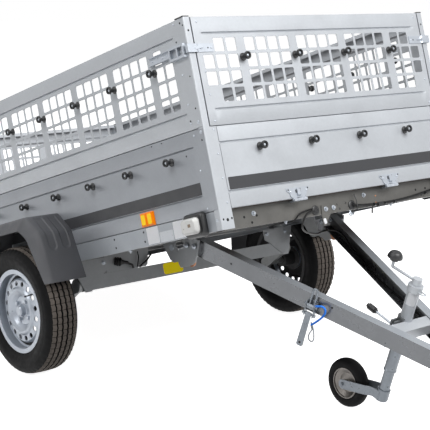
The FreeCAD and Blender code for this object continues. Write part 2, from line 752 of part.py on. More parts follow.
def guard_outline(corners, shrink, low):
    # half a mudguard's outline is its low, middle and top corner, made smaller by a wall
    half_top, top, half_mid, mid_z, half_low = corners
    half_top -= shrink / 2
    half_mid -= shrink
    half_low -= shrink
    top -= shrink
    mid_z -= shrink / 2
    return [
        (WHEEL_X - half_low, low), (WHEEL_X - half_mid, mid_z), (WHEEL_X - half_top, top),
        (WHEEL_X + half_top, top), (WHEEL_X + half_mid, mid_z), (WHEEL_X + half_low, low),
    ]


def guard_solid(shrink, low):
    band = guard_outline(GUARD_CORNERS, shrink, low)
    arch = guard_outline(ARCH_CORNERS, shrink, low)
    rings = []
    for outline, y in ((band, -HALF), (band, -HALF - GUARD_BAND), (arch, -HALF - GUARD_OUT)):
        rings.append(Part.makePolygon([V(x, y, z) for x, z in outline + outline[:1]]))
    return Part.makeLoft(rings, True, True)


def build_mudguards():
    outer = guard_solid(0.0, GUARD_BOTTOM)
    inner = guard_solid(GUARD_SHEET, GUARD_BOTTOM - 5)
    arch = guard_outline(ARCH_CORNERS, GUARD_SHEET, GUARD_BOTTOM - 5)
    opening = prism_xz(arch, -HALF - GUARD_OUT - 5, -HALF - GUARD_BAND)
    skin = outer.cut(guard_solid(CHANNEL_DEPTH, GUARD_BOTTOM - 5))
    guard = outer.cut([inner, opening])
    for low, high in CHANNEL_EDGES:
        middle = (low + high) / 2
        radius = (high - low) / 2
        reach = box(WHEEL_X + 100, WHEEL_X + 400, -high, -low, CHANNEL_LOW_Z, CHANNEL_HIGH_Z)
        foot = Part.makeCylinder(radius, 300, V(WHEEL_X + 100, -middle, CHANNEL_LOW_Z), V(1, 0, 0))
        channel = reach.fuse(foot).common(skin)
        back = channel.mirror(V(WHEEL_X, 0, 0), V(1, 0, 0))
        guard = guard.cut([channel, back])
    parts["mudguard_right"] = guard
    parts["mudguard_left"] = mirror_y(guard)


def build_tip_brackets():
    z_top = RAIL_HEIGHT - CROSS_HEIGHT
    outline = [(CHEEK_TOP[0], z_top), (CHEEK_TOP[1], z_top)] + list(CHEEK_OUTLINE)
    outer_face = -PLATE_Y + CHEEK_GAP
    inner_face = outer_face + CHEEK_THICKNESS
    cheek = prism_xz(outline, outer_face, inner_face)
    x, z = bar_to_bed(PIN_X, PIN_Z)
    lug = rod(V(x, outer_face, z), V(x, inner_face, z), LUG_RADIUS)
    pin = rod(V(x, -PLATE_Y - PLATE_THICKNESS, z), V(x, inner_face + 6, z), PIN_RADIUS)
    bush = rod(V(x, -PLATE_Y + JOINT_GAP, z), V(x, outer_face, z), BUSH_RADIUS)
    parts["tip_brackets"] = Part.makeCompound(both_sides(fuse(cheek, lug, pin, bush)))


def chamfered(block, size, is_front):
    # a block with the edges of its front face cut back
    return block.makeChamfer(size, [edge for edge in block.Edges if is_front(edge.BoundBox)])


def build_lamps():
    face = -HALF - HOLDER_DEPTH
    holder = box(*HOLDER_X, face, -HALF, *HOLDER_Z)
    holder = chamfered(holder, HOLDER_CHAMFER, lambda bound: bound.YLength > HOLDER_DEPTH - 1)
    parts["lamp_holders"] = Part.makeCompound(both_sides(holder))
    lens = box(*LENS_X, face - LENS_DEPTH, face, *LENS_Z)
    lens = chamfered(lens, LENS_CHAMFER, lambda bound: bound.YMax < face - LENS_DEPTH + 1)
    parts["position_lamps"] = Part.makeCompound(both_sides(lens))
    low, high = REFLECTOR_Z
    base = box(*REFLECTOR_X, -HALF - REFLECTOR_BASE, -HALF, low, high)
    rim = REFLECTOR_RIM
    face = -HALF - REFLECTOR_DEPTH
    lobes = []
    for x in (REFLECTOR_X[0] + rim, REFLECTOR_X[1] - rim - LOBE_WIDTH):
        lobe = box(x, x + LOBE_WIDTH, face, -HALF - REFLECTOR_BASE, low + rim - 1, high - rim + 1)
        lobes.append(chamfered(lobe, rim, lambda bound: bound.YMax < face + 1))
    parts["side_reflectors"] = Part.makeCompound(both_sides(fuse(base, *lobes)))
    front = -BOX_LENGTH + BEAM_SETBACK - LAMP_PLATE_SHEET
    near, far = REAR_LAMP_REACH
    rear = box(front - REAR_LAMP_DEPTH, front, -HALF + near, -HALF + far, *REAR_LAMP_Z)
    rear = chamfered(rear, REAR_LAMP_CHAMFER, lambda bound: bound.XMax < front - REAR_LAMP_DEPTH + 1)
    parts["rear_lamps"] = Part.makeCompound(both_sides(rear))


def build_hinges():
    # gate leaves with two knuckles each, and bed tongues with the pins they turn on
    leaves = []
    tongues = []
    for y in (-HINGE_Y, HINGE_Y):
        leaf = prism_yz([(y + dy, HINGE_Z + dz) for dy, dz in LEAF_OUTLINE], 0, HINGE_SHEET)
        hook = prism_xz(HOOK_OUTLINE, y - 8, y + 8)
        knuckles = [hook]
        for side in (-1, 1):
            near = y + side * (TONGUE_HALF + 1.0)
            far = y + side * KNUCKLE_END
            low = min(near, far)
            high = max(near, far)
            knuckles.append(box(0, HINGE_SHEET, low, high, HINGE_Z, HINGE_FOOT))
            knuckles.append(rod(V(HINGE_X, low, HINGE_Z), V(HINGE_X, high, HINGE_Z), KNUCKLE_RADIUS))
        leaf = fuse(leaf, *knuckles)
        bore = rod(V(HINGE_X, y - 60, HINGE_Z), V(HINGE_X, y + 60, HINGE_Z), HINGE_PIN + RUNNING_GAP)
        leaves.append(leaf.cut(bore))
        near = y - TONGUE_HALF
        far = y + TONGUE_HALF
        tongue = box(-BEAM_SETBACK, HINGE_X, near, far, HINGE_Z - KNUCKLE_RADIUS, HINGE_Z)
        eye = rod(V(HINGE_X, near, HINGE_Z), V(HINGE_X, far, HINGE_Z), KNUCKLE_RADIUS)
        pin_half = KNUCKLE_END + 3
        pin = rod(V(HINGE_X, y - pin_half, HINGE_Z), V(HINGE_X, y + pin_half, HINGE_Z), HINGE_PIN)
        tongues.append(fuse(tongue, eye, pin))
    leaves = Part.makeCompound(leaves)
    tongues = Part.makeCompound(tongues)
    parts["front_hinge_leaves"] = leaves
    parts["rear_hinge_leaves"] = to_rear(leaves)
    parts["hinge_tongues"] = Part.makeCompound([tongues, to_rear(tongues)])


def build_latches():
    # a lever and loop on each side mesh, and the keeper straps of the gate corners they hold
    wall = -HALF
    lever = box(LATCH_REAR_X, LATCH_LOOP_X, wall - LATCH_SHEET, wall, LATCH_LOW, LATCH_HIGH)
    edges = []
    for z in (LATCH_LOW, LATCH_HIGH - LATCH_SHEET):
        edges.append(prism_xz([
            (LATCH_REAR_X, z), (LATCH_LOOP_X + 6, z), (LATCH_LOOP_X + 6, z + LATCH_SHEET),
            (LATCH_REAR_X, z + LATCH_SHEET),
        ], wall - LATCH_DEPTH + 2, wall))
    out = wall - LATCH_DEPTH
    low = LOOP_LOW
    high = LOOP_HIGH
    loop = box(LATCH_LOOP_X, LATCH_FRONT_X, out, wall, low, high)
    window = box(LATCH_LOOP_X + 8, LATCH_FRONT_X - 9, out - 1, wall + 1, low + 9, high - 9)
    bar = box(LATCH_FRONT_X - 46, LATCH_FRONT_X - 38, out + 2, wall - 3, low + 4, high - 4)
    latch = fuse(lever, loop.cut(window), bar, *edges)
    end = HALF - KEEPER_REACH
    step = HALF - KEEPER_STEP
    outline = [
        (3.0, end), (3.0, step), (8.5, step + 9), (8.5, HALF + 8.5), (-6.0, HALF + 8.5),
        (-6.0, HALF + 5.5), (5.5, HALF + 5.5), (5.5, step + 10), (0.0, step + 1.5), (0.0, end),
    ]
    strap = prism_xy([(x, -y) for x, y in outline], KEEPER_LOW, KEEPER_HIGH)
    latches = both_sides(latch)
    parts["gate_latches"] = Part.makeCompound(latches + [to_rear(shape) for shape in latches])
    parts["front_keepers"] = Part.makeCompound(both_sides(strap))
    parts["rear_keepers"] = to_rear(parts["front_keepers"])


def build_drawbar():
    slope = ARM_REAR_HALF / (ARM_APEX_X - ARM_REAR_X)

    def outer(x):
        return slope * (ARM_APEX_X - x)

    cos = math.cos(math.atan(slope))
    web = ARM_SHEET / cos
    flange = ARM_FLANGE / cos

    def strip(width, z0, z1):
        return prism_xy([
            (ARM_REAR_X, -outer(ARM_REAR_X)), (ARM_FRONT_X, -outer(ARM_FRONT_X)),
            (ARM_FRONT_X, -outer(ARM_FRONT_X) + width), (ARM_REAR_X, -outer(ARM_REAR_X) + width),
        ], z0, z1)

    low = ARM_TOP - ARM_HEIGHT
    top_flange = strip(flange, ARM_TOP - ARM_SHEET, ARM_TOP)
    arm = fuse(strip(web, low, ARM_TOP), top_flange, strip(flange, low, low + ARM_SHEET))
    centre = box(ARM_REAR_X - 1, ARM_FRONT_X + 1, 0, HALF, low - 1, ARM_TOP + 1)
    arm = arm.cut(centre)
    rear, front = ARM_BLOCK
    block = prism_xy([
        (rear, -PLATE_Y), (front, -PLATE_Y), (front, -outer(front)), (ARM_REAR_X, -ARM_REAR_HALF + 3),
        (rear, -ARM_REAR_HALF + 3),
    ], low + 11, ARM_TOP - 5)
    arm = arm.fuse(block)
    parts["drawbar_arm_right"] = arm
    parts["drawbar_arm_left"] = mirror_y(arm)

    plate = prism_xz(PLATE_OUTLINE, -PLATE_Y - PLATE_THICKNESS, -PLATE_Y)
    hole = rod(V(PIN_X, -PLATE_Y - 20, PIN_Z), V(PIN_X, -PLATE_Y + 1, PIN_Z), PIN_RADIUS + RUNNING_GAP)
    parts["hinge_plates"] = Part.makeCompound(both_sides(plate.cut(hole)))

    x0 = CROSSBAR_X
    x1 = CROSSBAR_X + CROSSBAR_WIDTH
    inside = web + JOINT_GAP
    y0 = outer(x0) - inside
    y1 = outer(x1) - inside
    top = ARM_TOP - ARM_SHEET - JOINT_GAP
    bar = prism_xy([(x0, -y0), (x1, -y1), (x1, y1), (x0, y0)], top - CROSSBAR_HEIGHT, top)
    hollow = box(x0 + CROSSBAR_SHEET, x1 - CROSSBAR_SHEET, -HALF, HALF, 0, top - CROSSBAR_SHEET)
    parts["drawbar_crossbar"] = bar.cut(hollow)
    build_coupling(outer)
    build_jockey_stand()
    build_jockey_wheel()
    build_tip_latch(outer)
    build_cables(outer)


def build_tip_latch(outer):
    # a hooked loop over the right arm and the lever that pulls it, built on a web facing -Y
    base = box(-20, 20, -4, 0, 20, 70)
    cheeks = [box(x, x + 3, -26, -4, 5, 66) for x in (-20, 17)]
    pins = [rod(V(-24, -18, z), V(24, -18, z), 4.5) for z in (14, 52)]
    lever = prism_xz([(-12, 24), (12, 24), (9, -122), (4, -127), (-14, -127), (-18, -122)], -24, -20)
    loop = bent_bar([
        V(-9, -13, 50), V(-9, -13, 112), V(-4, -13, 119), V(6, -13, 119), V(11, -13, 112), V(11, -13, 50),
    ], 4.0)
    latch = fuse(base, *cheeks, *pins, lever, loop)
    latch = turned(latch, math.degrees(math.atan(ARM_REAR_HALF / (ARM_APEX_X - ARM_REAR_X))))
    parts["tip_latch"] = moved(latch, TIP_LATCH_X, -outer(TIP_LATCH_X), 0)


def build_cables(outer):
    # lamp cable: tied along the front beam, hung in a loop at the tip axis, clipped in the left arm
    loom_x = BUNDLE_RADIUS + JOINT_GAP - BEAM_SETBACK
    loom = bent_bar([V(loom_x + dx, y, z) for dx, y, z in BEAM_CABLE], BUNDLE_RADIUS)
    wire = bent_bar([V(x, y, z) for x, y, z in SIDE_WIRE], WIRE_RADIUS)
    parts["beam_cable"] = Part.makeCompound([loom, wire])
    parts["tip_cable"] = tube([V(x, y, z) for x, y, z in TIP_CABLE], CABLE_RADIUS)
    inside = []
    for x, off, z in ARM_CABLE:
        inside.append(V(x, outer(x) - off, z))
    inside += [V(x, y, z) for x, y, z in PLUG_CABLE]
    parts["arm_cable"] = bent_bar(inside, CABLE_RADIUS)
    x, y, z = PLUG_CABLE[-1]
    plug = fuse(
        rod(V(x, y, z), V(x + 26, y, z), 12.0), rod(V(x + 20, y, z), V(x + 70, y, z), 22.0),
    )
    parts["cable_plug"] = plug
    holder = box(x + 34, x + 62, y - 27, y + 27, ARM_TOP, z + 27)
    hollow = rod(V(x + 30, y, z), V(x + 66, y, z), 22.2)
    parts["drawbar_arm_left"] = fuse(parts["drawbar_arm_left"], holder.cut(hollow))


def build_coupling(outer):
    x = COUPLING_BALL_X
    low = ARM_TOP - ARM_HEIGHT + ARM_SHEET + JOINT_GAP
    high = 78.0
    tail = box(COUPLING_TAIL_X, x - 40, -COUPLING_HALF, COUPLING_HALF, low, high)
    hollow = box(COUPLING_TAIL_X - 1, x - 62, -COUPLING_HALF + 5, COUPLING_HALF - 5, low - 1, high - 5)
    head = lathe_z([
        (0.0, COUPLING_BOTTOM), (COUPLING_RADIUS, COUPLING_BOTTOM), (COUPLING_RADIUS, 58.0), (34.0, 70.0),
        (24.0, 79.0), (10.0, 83.0), (0.0, 84.0),
    ], x)
    throat = prism_xy([
        (x - 90, -COUPLING_HALF), (x - 10, -COUPLING_RADIUS), (x - 10, COUPLING_RADIUS),
        (x - 90, COUPLING_HALF),
    ], low, 68)
    bore = Part.makeCylinder(BALL_BORE, SOCKET_LENGTH + 1, V(x, 0, COUPLING_BOTTOM - 1))
    dome = Part.makeSphere(BALL_BORE, V(x, 0, COUPLING_BOTTOM + SOCKET_LENGTH))
    head = fuse(head, throat, tail.cut(hollow)).cut([bore, dome])
    tail_x = COUPLING_TAIL_X - 1
    front_x = ARM_FRONT_X + 1
    y0 = outer(tail_x) - ARM_SHEET - 0.5
    y1 = outer(front_x) - ARM_SHEET - 0.5
    between = prism_xy([
        (tail_x, -y0), (front_x, -y1), (x + 99, -99), (x + 99, 99), (front_x, y1), (tail_x, y0),
    ], 0, 200)
    parts["coupling_head"] = head.common(between)
    parts["coupling_handle"] = prism_xz([
        (x - 18, 84.0 + JOINT_GAP), (x + 16, 84.0 + JOINT_GAP), (x + 22, 94), (x + 8, 108), (x - 28, 112),
        (x - 110, 106), (x - 160, 98), (x - 160, 90), (x - 110, 97), (x - 32, 100),
    ], -15, 15)


def post_z(radius, z0, z1):
    # a round post on the jockey wheel's own line
    return Part.makeCylinder(radius, z1 - z0, V(JOCKEY_X, 0, z0))


def build_jockey_stand():
    # the clamped outer tube with its crank, the clamp and the clamp's lever
    outer = post_z(JOCKEY_RADIUS, JOCKEY_BOTTOM, JOCKEY_TOP)
    bore = post_z(LEG_RADIUS + RUNNING_GAP, JOCKEY_BOTTOM - 1, JOCKEY_TOP - 21)
    collar_top = JOCKEY_TOP + COLLAR_HEIGHT
    collar = post_z(COLLAR_RADIUS, JOCKEY_TOP, collar_top)
    cap = post_z(CAP_RADIUS, collar_top, collar_top + CAP_HEIGHT)
    lug_x = JOCKEY_X + COLLAR_RADIUS
    lug_z = JOCKEY_TOP + 8
    lug = bent_bar([
        V(lug_x - 8, -9, lug_z), V(lug_x + 16, -9, lug_z), V(lug_x + 22, -4, lug_z),
        V(lug_x + 22, 4, lug_z), V(lug_x + 16, 9, lug_z), V(lug_x - 8, 9, lug_z),
    ], 3.0)
    parts["jockey_tube"] = fuse(outer, collar, cap, lug).cut(bore)
    z = collar_top + CAP_HEIGHT / 2
    reach = V(JOCKEY_X - CRANK_REACH, 0, z - 2)
    crank = rod(V(JOCKEY_X - CAP_RADIUS + 1, 0, z), reach, CRANK_RADIUS)
    up = rod(reach, reach + V(0, 0, 28), CRANK_RADIUS)
    knob_body = Part.makeCylinder(16.0, 12.0, reach + V(0, 0, 26))
    head = Part.makeSphere(30.0, reach + V(0, 0, 38), V(0, 0, 1), 0, 90, 360)
    head = head.common(Part.makeCylinder(31.0, 24.0, reach + V(0, 0, 38)))
    parts["jockey_crank"] = fuse(crank, up, knob_body, head).cut(parts["jockey_tube"])
    jaw = post_z(JOCKEY_RADIUS + JAW_WALL, *JAW_Z)
    ears = box(JOCKEY_X - 22, JOCKEY_X - 14, -58, -20, JAW_Z[0] + 2, JAW_Z[1] - 12)
    ears = ears.fuse(box(JOCKEY_X - 6, JOCKEY_X + 2, -58, -28, JAW_Z[0] + 2, JAW_Z[1] - 12))
    hole = post_z(JOCKEY_RADIUS + JOINT_GAP, -20, JOCKEY_TOP)
    clear = box(CROSSBAR_X - JOINT_GAP, CROSSBAR_X + 99, -99, 99, 0, 200)
    start = V(JOCKEY_X + 4, -50, 61)
    grip = V(JOCKEY_X - LEVER_REACH, -50, 71)
    lever = rod(start, grip, LEVER_RADIUS)
    along = (grip - start).normalize()
    egg = rod(grip - along * 20, grip + along * 14, 13.0)
    egg = fuse(egg, rod(grip - along * 28, grip + along * 22, 8.5))
    parts["clamp_lever"] = fuse(lever, egg)
    ears = ears.cut(rod(start - along * 9, grip, LEVER_RADIUS + RUNNING_GAP))
    parts["jockey_clamp"] = fuse(jaw, ears).cut([hole, clear])
    parts["drawbar_crossbar"] = parts["drawbar_crossbar"].cut(hole)


def build_jockey_wheel():
    # the sliding leg, the trailing fork that swivels on it and the wheel
    leg = post_z(LEG_RADIUS, LEG_BOTTOM, LEG_TOP)
    core = post_z(LEG_RADIUS - JOCKEY_WALL, LEG_BOTTOM + 4, LEG_TOP + 1)
    thrust = post_z(LEG_RADIUS + FORK_SHEET, FORK_TOP + RUNNING_GAP, FORK_TOP + RUNNING_GAP + 6)
    keeper = post_z(LEG_RADIUS + 3, LEG_BOTTOM, LEG_BOTTOM + 4)
    parts["jockey_leg"] = fuse(leg.cut(core), thrust.cut(core), keeper)
    ring = post_z(LEG_RADIUS + FORK_SHEET, FORK_TOP - FORK_HEIGHT, FORK_TOP)
    axle_x = JOCKEY_X - FORK_TRAIL
    low = FORK_DROP
    near = JOCKEY_X
    side = prism_xz([
        (near + 2, FORK_TOP), (near + 2, FORK_TOP - FORK_HEIGHT), (near - 28, FORK_TOP - FORK_HEIGHT),
        (near - 50, FORK_TOP - FORK_HEIGHT - 8), (axle_x + 2, low - 20), (axle_x - 13, low - 14),
        (axle_x - 19, low), (axle_x - 14, low + 14), (axle_x, low + 20), (near - 50, FORK_TOP - 6),
    ], 0, FORK_HALF + 2 * FORK_SHEET)
    out = FORK_HALF + FORK_SHEET
    waist = LEG_RADIUS + FORK_SHEET + 1.5
    plan = prism_xy([
        (axle_x - 22, FORK_HALF), (axle_x - 22, out), (near - 62, out), (near - 22, waist),
        (near + 2, waist), (near + 2, LEG_RADIUS + 1), (near - 22, LEG_RADIUS + 1), (near - 64, FORK_HALF),
    ], low - 40, FORK_TOP + 5)
    arm = side.common(plan)
    socket = post_z(LEG_RADIUS + RUNNING_GAP, FORK_TOP - FORK_HEIGHT - 50, FORK_TOP + 50)
    axle = rod(V(axle_x, -out - 8, low), V(axle_x, out + 8, low), JOCKEY_AXLE_RADIUS)
    parts["jockey_fork"] = fuse(ring, arm, mirror_y(arm), axle).cut(socket)
    half = JOCKEY_WHEEL_WIDTH / 2
    r = JOCKEY_RIM_RADIUS
    tyre_ring = lathe_y([
        (r, -half + 4), (r + 6, -half), (JOCKEY_WHEEL_RADIUS - 8, -half), (JOCKEY_WHEEL_RADIUS, -half + 9),
        (JOCKEY_WHEEL_RADIUS, half - 9), (JOCKEY_WHEEL_RADIUS - 8, half), (r + 6, half), (r, half - 4),
    ])
    bore_r = JOCKEY_AXLE_RADIUS + RUNNING_GAP
    rim_ring = lathe_y([
        (bore_r, -26), (14, -26), (14, -10), (40, -5), (r - 4, -16), (r - 4, -half + 2), (r, -half + 2),
        (r, half - 2), (r - 4, half - 2), (r - 4, 16), (40, 5), (14, 10), (14, 26), (bore_r, 26),
    ])
    parts["jockey_tyre"] = moved(tyre_ring, axle_x, 0, low)
    parts["jockey_rim"] = moved(rim_ring, axle_x, 0, low)


DRAWBAR_NODES = (
    "drawbar_arm_right", "drawbar_arm_left", "hinge_plates", "drawbar_crossbar", "coupling_head",
    "coupling_handle", "jockey_tube", "jockey_crank", "jockey_clamp", "clamp_lever", "jockey_leg",
    "jockey_fork", "jockey_tyre", "jockey_rim", "tip_latch", "arm_cable", "cable_plug",
)


def standing_pitch():
    # nose-up pitch of the bed at which the tyres and the jockey wheel meet one floor
    jockey_x, jockey_z = bar_to_bed(JOCKEY_X - FORK_TRAIL, FORK_DROP)
    across = jockey_x - WHEEL_X
    up = jockey_z - WHEEL_Z
    reach = JOCKEY_WHEEL_RADIUS - TYRE_RADIUS
    # across * sin(p) + up * cos(p) = reach
    phase = math.atan2(across, up)
    return math.degrees(phase - math.acos(reach / math.hypot(across, up)))


def place_on_floor():
    pitch = standing_pitch()
    for name in list(parts):
        if name in DRAWBAR_NODES:
            shape = turned(parts[name], TIP_ANGLE, V(0, 1, 0))
            shape.translate(V(BAR_X, 0, BAR_Z))
            parts[name] = shape
        parts[name] = turned(parts[name], -pitch, V(0, 1, 0))
    p = math.radians(pitch)
    wheel_z = WHEEL_X * math.sin(p) + WHEEL_Z * math.cos(p)
    whole = Part.makeCompound(list(parts.values())).optimalBoundingBox(False)
    shift = V(-(whole.XMin + whole.XMax) / 2, 0, TYRE_RADIUS - wheel_z)
    for name in parts:
        parts[name].translate(shift)
    return pitch, shift


build_sides()
build_gates()
build_hinges()
build_latches()
build_posts()
build_chassis()
build_wheels()
build_axle()
build_mudguards()
build_tip_brackets()
build_lamps()
build_drawbar()
pitch, shift = place_on_floor()
print("bed pitch", round(pitch, 5), "shift", [round(v, 4) for v in shift])
os.makedirs("parts", exist_ok=True)
for name, shape in parts.items():
    print(name, len(shape.Solids), round(shape.Volume / 1000), shape.isValid())
    shape.exportStep("parts/" + name + ".step")
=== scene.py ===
import bpy
import math
from mathutils import Matrix, Vector


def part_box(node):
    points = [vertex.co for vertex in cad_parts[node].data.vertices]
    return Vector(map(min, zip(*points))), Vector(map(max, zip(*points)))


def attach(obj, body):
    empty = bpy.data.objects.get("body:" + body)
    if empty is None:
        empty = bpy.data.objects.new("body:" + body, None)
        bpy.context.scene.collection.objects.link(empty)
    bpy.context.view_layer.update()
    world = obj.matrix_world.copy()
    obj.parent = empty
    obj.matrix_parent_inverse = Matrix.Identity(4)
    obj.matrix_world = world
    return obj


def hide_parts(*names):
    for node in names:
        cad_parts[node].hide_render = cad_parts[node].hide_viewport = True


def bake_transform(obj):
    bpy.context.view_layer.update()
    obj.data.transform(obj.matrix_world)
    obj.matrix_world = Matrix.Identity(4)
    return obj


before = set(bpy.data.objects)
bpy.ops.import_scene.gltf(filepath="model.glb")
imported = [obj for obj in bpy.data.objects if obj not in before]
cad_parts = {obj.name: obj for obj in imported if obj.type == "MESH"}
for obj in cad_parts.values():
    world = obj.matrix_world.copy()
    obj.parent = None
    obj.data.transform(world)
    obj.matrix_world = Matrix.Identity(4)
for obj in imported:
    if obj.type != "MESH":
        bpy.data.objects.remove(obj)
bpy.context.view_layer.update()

# Sizes in millimetres, as in the part's source. Bed frame: X forward from the box's front face,
# Y left, Z up from the underside of the chassis rails. Bar frame: origin on the tip axis.
BOX_LENGTH = 2349.0
HALF = 655.0
RAIL_HEIGHT = 70.0
SEAM_Z = 374.0
TOP_Z = 777.0
SIDE_FIRST_RIB = 232.7
GATE_FIRST_RIB = 251.3
GROUP_PITCH = 269.1
WHEEL = Vector((-1230.0, -767.0, -159.0))
TYRE_RADIUS = 273.0
AXLE = Vector((-1075.0, 0.0, -99.0))
TIP_ANGLE = 34.4
TIP_PIN = Vector((-483.0, 0.0, -103.0))
JOCKEY_X = 742.0
JOCKEY_TRAIL = 174.0
JOCKEY_DROP = -309.0
JOCKEY_WHEEL_RADIUS = 100.0
JOCKEY_RADIUS = 24.0
JOCKEY_TOP = 207.0
ARM_TOP = 89.0
ARM_REAR_X = -76.0
ARM_REAR_HALF = 411.5
ARM_APEX_X = 1229.0
PLATE_Y = 417.8
BEAM_X = -40.0
# middle of the hinge bush, (x, z) in the bar frame
BUSH = Vector((-42.0, -8.0))
GROMMETS = ((-147.0, 16.0), (56.0, 14.0))
TIP_LATCH_X = 483.0
HINGE_Y = 258.0
STRIPE_Z = (138.0, 184.0)
CAMERA_BED = Vector((3237.27, -3347.72, -104.09))
CAMERA_TURN = (78.3669, -0.8822, 49.6899)
CAMERA_LENS = 99.2006
SIDES = ((-1, "right"), (1, "left"))
# name, outward direction and X of each end of the box
ENDS = (("front", 1, 0.0), ("rear", -1, -BOX_LENGTH))
BAR_BODIES = ("drawbar", "jockey_wheel")


def standing_pitch():
    # nose-up pitch at which the road wheels and the jockey wheel meet one floor
    tip = math.radians(TIP_ANGLE)
    axle_x = JOCKEY_X - JOCKEY_TRAIL
    across = TIP_PIN.x + axle_x * math.cos(tip) + JOCKEY_DROP * math.sin(tip) - WHEEL.x
    up = TIP_PIN.z - axle_x * math.sin(tip) + JOCKEY_DROP * math.cos(tip) - WHEEL.z
    reach = JOCKEY_WHEEL_RADIUS - TYRE_RADIUS
    return math.atan2(across, up) - math.acos(reach / math.hypot(across, up))


def bed_frame():
    # the matrix from the bed's millimetres to the row frame's metres
    turn = Matrix.Rotation(-standing_pitch(), 4, "Y")
    low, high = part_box("tyre_right")
    centre = (low + high) / 2
    shift = centre - (turn @ WHEEL) / 1000
    return Matrix.Translation(shift) @ turn @ Matrix.Scale(0.001, 4)


BED = bed_frame()
BAR = BED @ Matrix.Translation(TIP_PIN) @ Matrix.Rotation(math.radians(TIP_ANGLE), 4, "Y")
MIRROR = Matrix.Scale(-1, 4, (0, 1, 0))


def arm_half(x):
    # how far the outer face of a drawbar arm lies from the centre plane
    return ARM_REAR_HALF * (ARM_APEX_X - x) / (ARM_APEX_X - ARM_REAR_X)


# meshes

class Form:
    """Vertices and faces in millimetres, gathered before they become one piece."""

    def __init__(self):
        self.verts = []
        self.faces = []
        self.slots = []

    def add(self, verts, faces, place=None, slot=0):
        start = len(self.verts)
        place = place or Matrix()
        flip = place.to_3x3().determinant() < 0
        self.verts += [place @ Vector(v) for v in verts]
        for face in faces:
            ids = [start + i for i in face]
            self.faces.append(ids[::-1] if flip else ids)
            self.slots.append(slot)

    def rings(self, rings, place=None, slot=0, loop=False):
        # skins between rings of equal count, closed at both ends or looped into each other
        count = len(rings[0])
        faces = []
        for a in range(len(rings) if loop else len(rings) - 1):
            b = (a + 1) % len(rings)
            for n in range(count):
                m = (n + 1) % count
                faces.append([a * count + n, a * count + m, b * count + m, b * count + n])
        if not loop:
            faces.append(list(range(count))[::-1])
            faces.append([(len(rings) - 1) * count + n for n in range(count)])
        self.add([v for ring in rings for v in ring], faces, place, slot)

    def lathe(self, profile, place=None, steps=16, slot=0, loop=False):
        # turns (radius, height) stations about local Z
        turns = [2 * math.pi * n / steps for n in range(steps)]
        rings = [[(r * math.cos(turn), r * math.sin(turn), z) for turn in turns] for r, z in profile]
        self.rings(rings, place, slot, loop)

    def slab(self, outline, height, place=None, chamfer=0.0):
        # a plate of any outline on local XY, with chamfered upper edges
        middle = sum((Vector(p) for p in outline), Vector((0, 0))) / len(outline)
        shrink = 1 - chamfer / max((Vector(p) - middle).length for p in outline)
        inner = [middle + (Vector(p) - middle) * shrink for p in outline]
        rings = [[(x, y, 0) for x, y in outline]]
        if chamfer:
            rings.append([(x, y, height - chamfer) for x, y in outline])
        self.rings(rings + [[(p.x, p.y, height) for p in inner]], place)

    def moulding(self, stations, place):
        # skins between rounded rectangles of (width, height, corner radius, depth)
        rings = []
        for width, height, radius, depth in stations:
            rings.append([(u, v, depth) for u, v in rounded(width, height, radius, 5)])
        self.rings(rings, place)

    def block(self, x0, x1, y0, y1, z0, z1, place=None, edge=0.6):
        # a flat bar or plate with its edges eased
        e = min(edge, (x1 - x0) / 3, (y1 - y0) / 3, (z1 - z0) / 3)
        rings = []
        for z, cut in ((z0, e), (z0 + e, 0.0), (z1 - e, 0.0), (z1, e)):
            west, east, south, north = x0 + cut, x1 - cut, y0 + cut, y1 - cut
            rings.append([(west, south, z), (east, south, z), (east, north, z), (west, north, z)])
        self.rings(rings, place)

    def rod(self, start, end, radius, place):
        # a round bar with eased ends
        start, end = Vector(start), Vector(end)
        length = (end - start).length
        ease = min(radius * 0.3, length / 4)
        turn = (end - start).to_track_quat("Z", "Y").to_matrix().to_4x4()
        profile = [(radius - ease, 0), (radius, ease), (radius, length - ease), (radius - ease, length)]
        self.lathe(profile, place @ Matrix.Translation(start) @ turn, 12)

    def wire(self, points, radius):
        # a bent round bar with mitred corners
        points = [Vector(point) for point in points]
        runs = [(b - a).normalized() for a, b in zip(points[:-1], points[1:])]
        across = runs[0].orthogonal().normalized()
        above = runs[0].cross(across)
        turns = [math.pi * n / 4 for n in range(8)]
        rings = [[points[0] + (across * math.cos(t) + above * math.sin(t)) * radius for t in turns]]
        for n in range(1, len(points)):
            along = runs[n - 1]
            mitre = along + runs[min(n, len(runs) - 1)]
            rings.append([v + along * ((points[n] - v).dot(mitre) / along.dot(mitre)) for v in rings[-1]])
        self.rings(rings)


def rounded(width, height, radius, steps=4):
    # a rectangle with round corners, centred on the origin
    points = []
    for n, (sx, sy) in enumerate(((1, 1), (-1, 1), (-1, -1), (1, -1))):
        for k in range(steps + 1):
            turn = math.pi / 2 * (n + k / steps)
            x = sx * (width / 2 - radius) + radius * math.cos(turn)
            points.append((x, sy * (height / 2 - radius) + radius * math.sin(turn)))
    return points


def at(point, normal, turn=0.0):
    # a place whose local Z looks along the normal; local Y stays as upright as it can
    z = Vector(normal).normalized()
    up = Vector((0, 0, 1)) if abs(z.z) < 0.9 else Vector((1, 0, 0))
    x = up.cross(z).normalized()
    y = z.cross(x)
    turned = Matrix((x, y, z)).transposed().to_4x4() @ Matrix.Rotation(math.radians(turn), 4, "Z")
    return Matrix.Translation(Vector(point)) @ turned


def finish_piece(obj, body, kinds, stands_for=None, smooth=30.0):
    # gives a piece its materials, listed in one string, and says what it rides on and stands for
    for kind in kinds.split():
        obj.data.materials.append(MATERIALS[kind])
    bpy.context.scene.collection.objects.link(obj)
    if obj.type == "MESH":
        for face in obj.data.polygons:
            face.use_smooth = True
        obj.data.set_sharp_from_angle(angle=math.radians(smooth))
    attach(obj, body)
    if stands_for:
        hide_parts(stands_for)


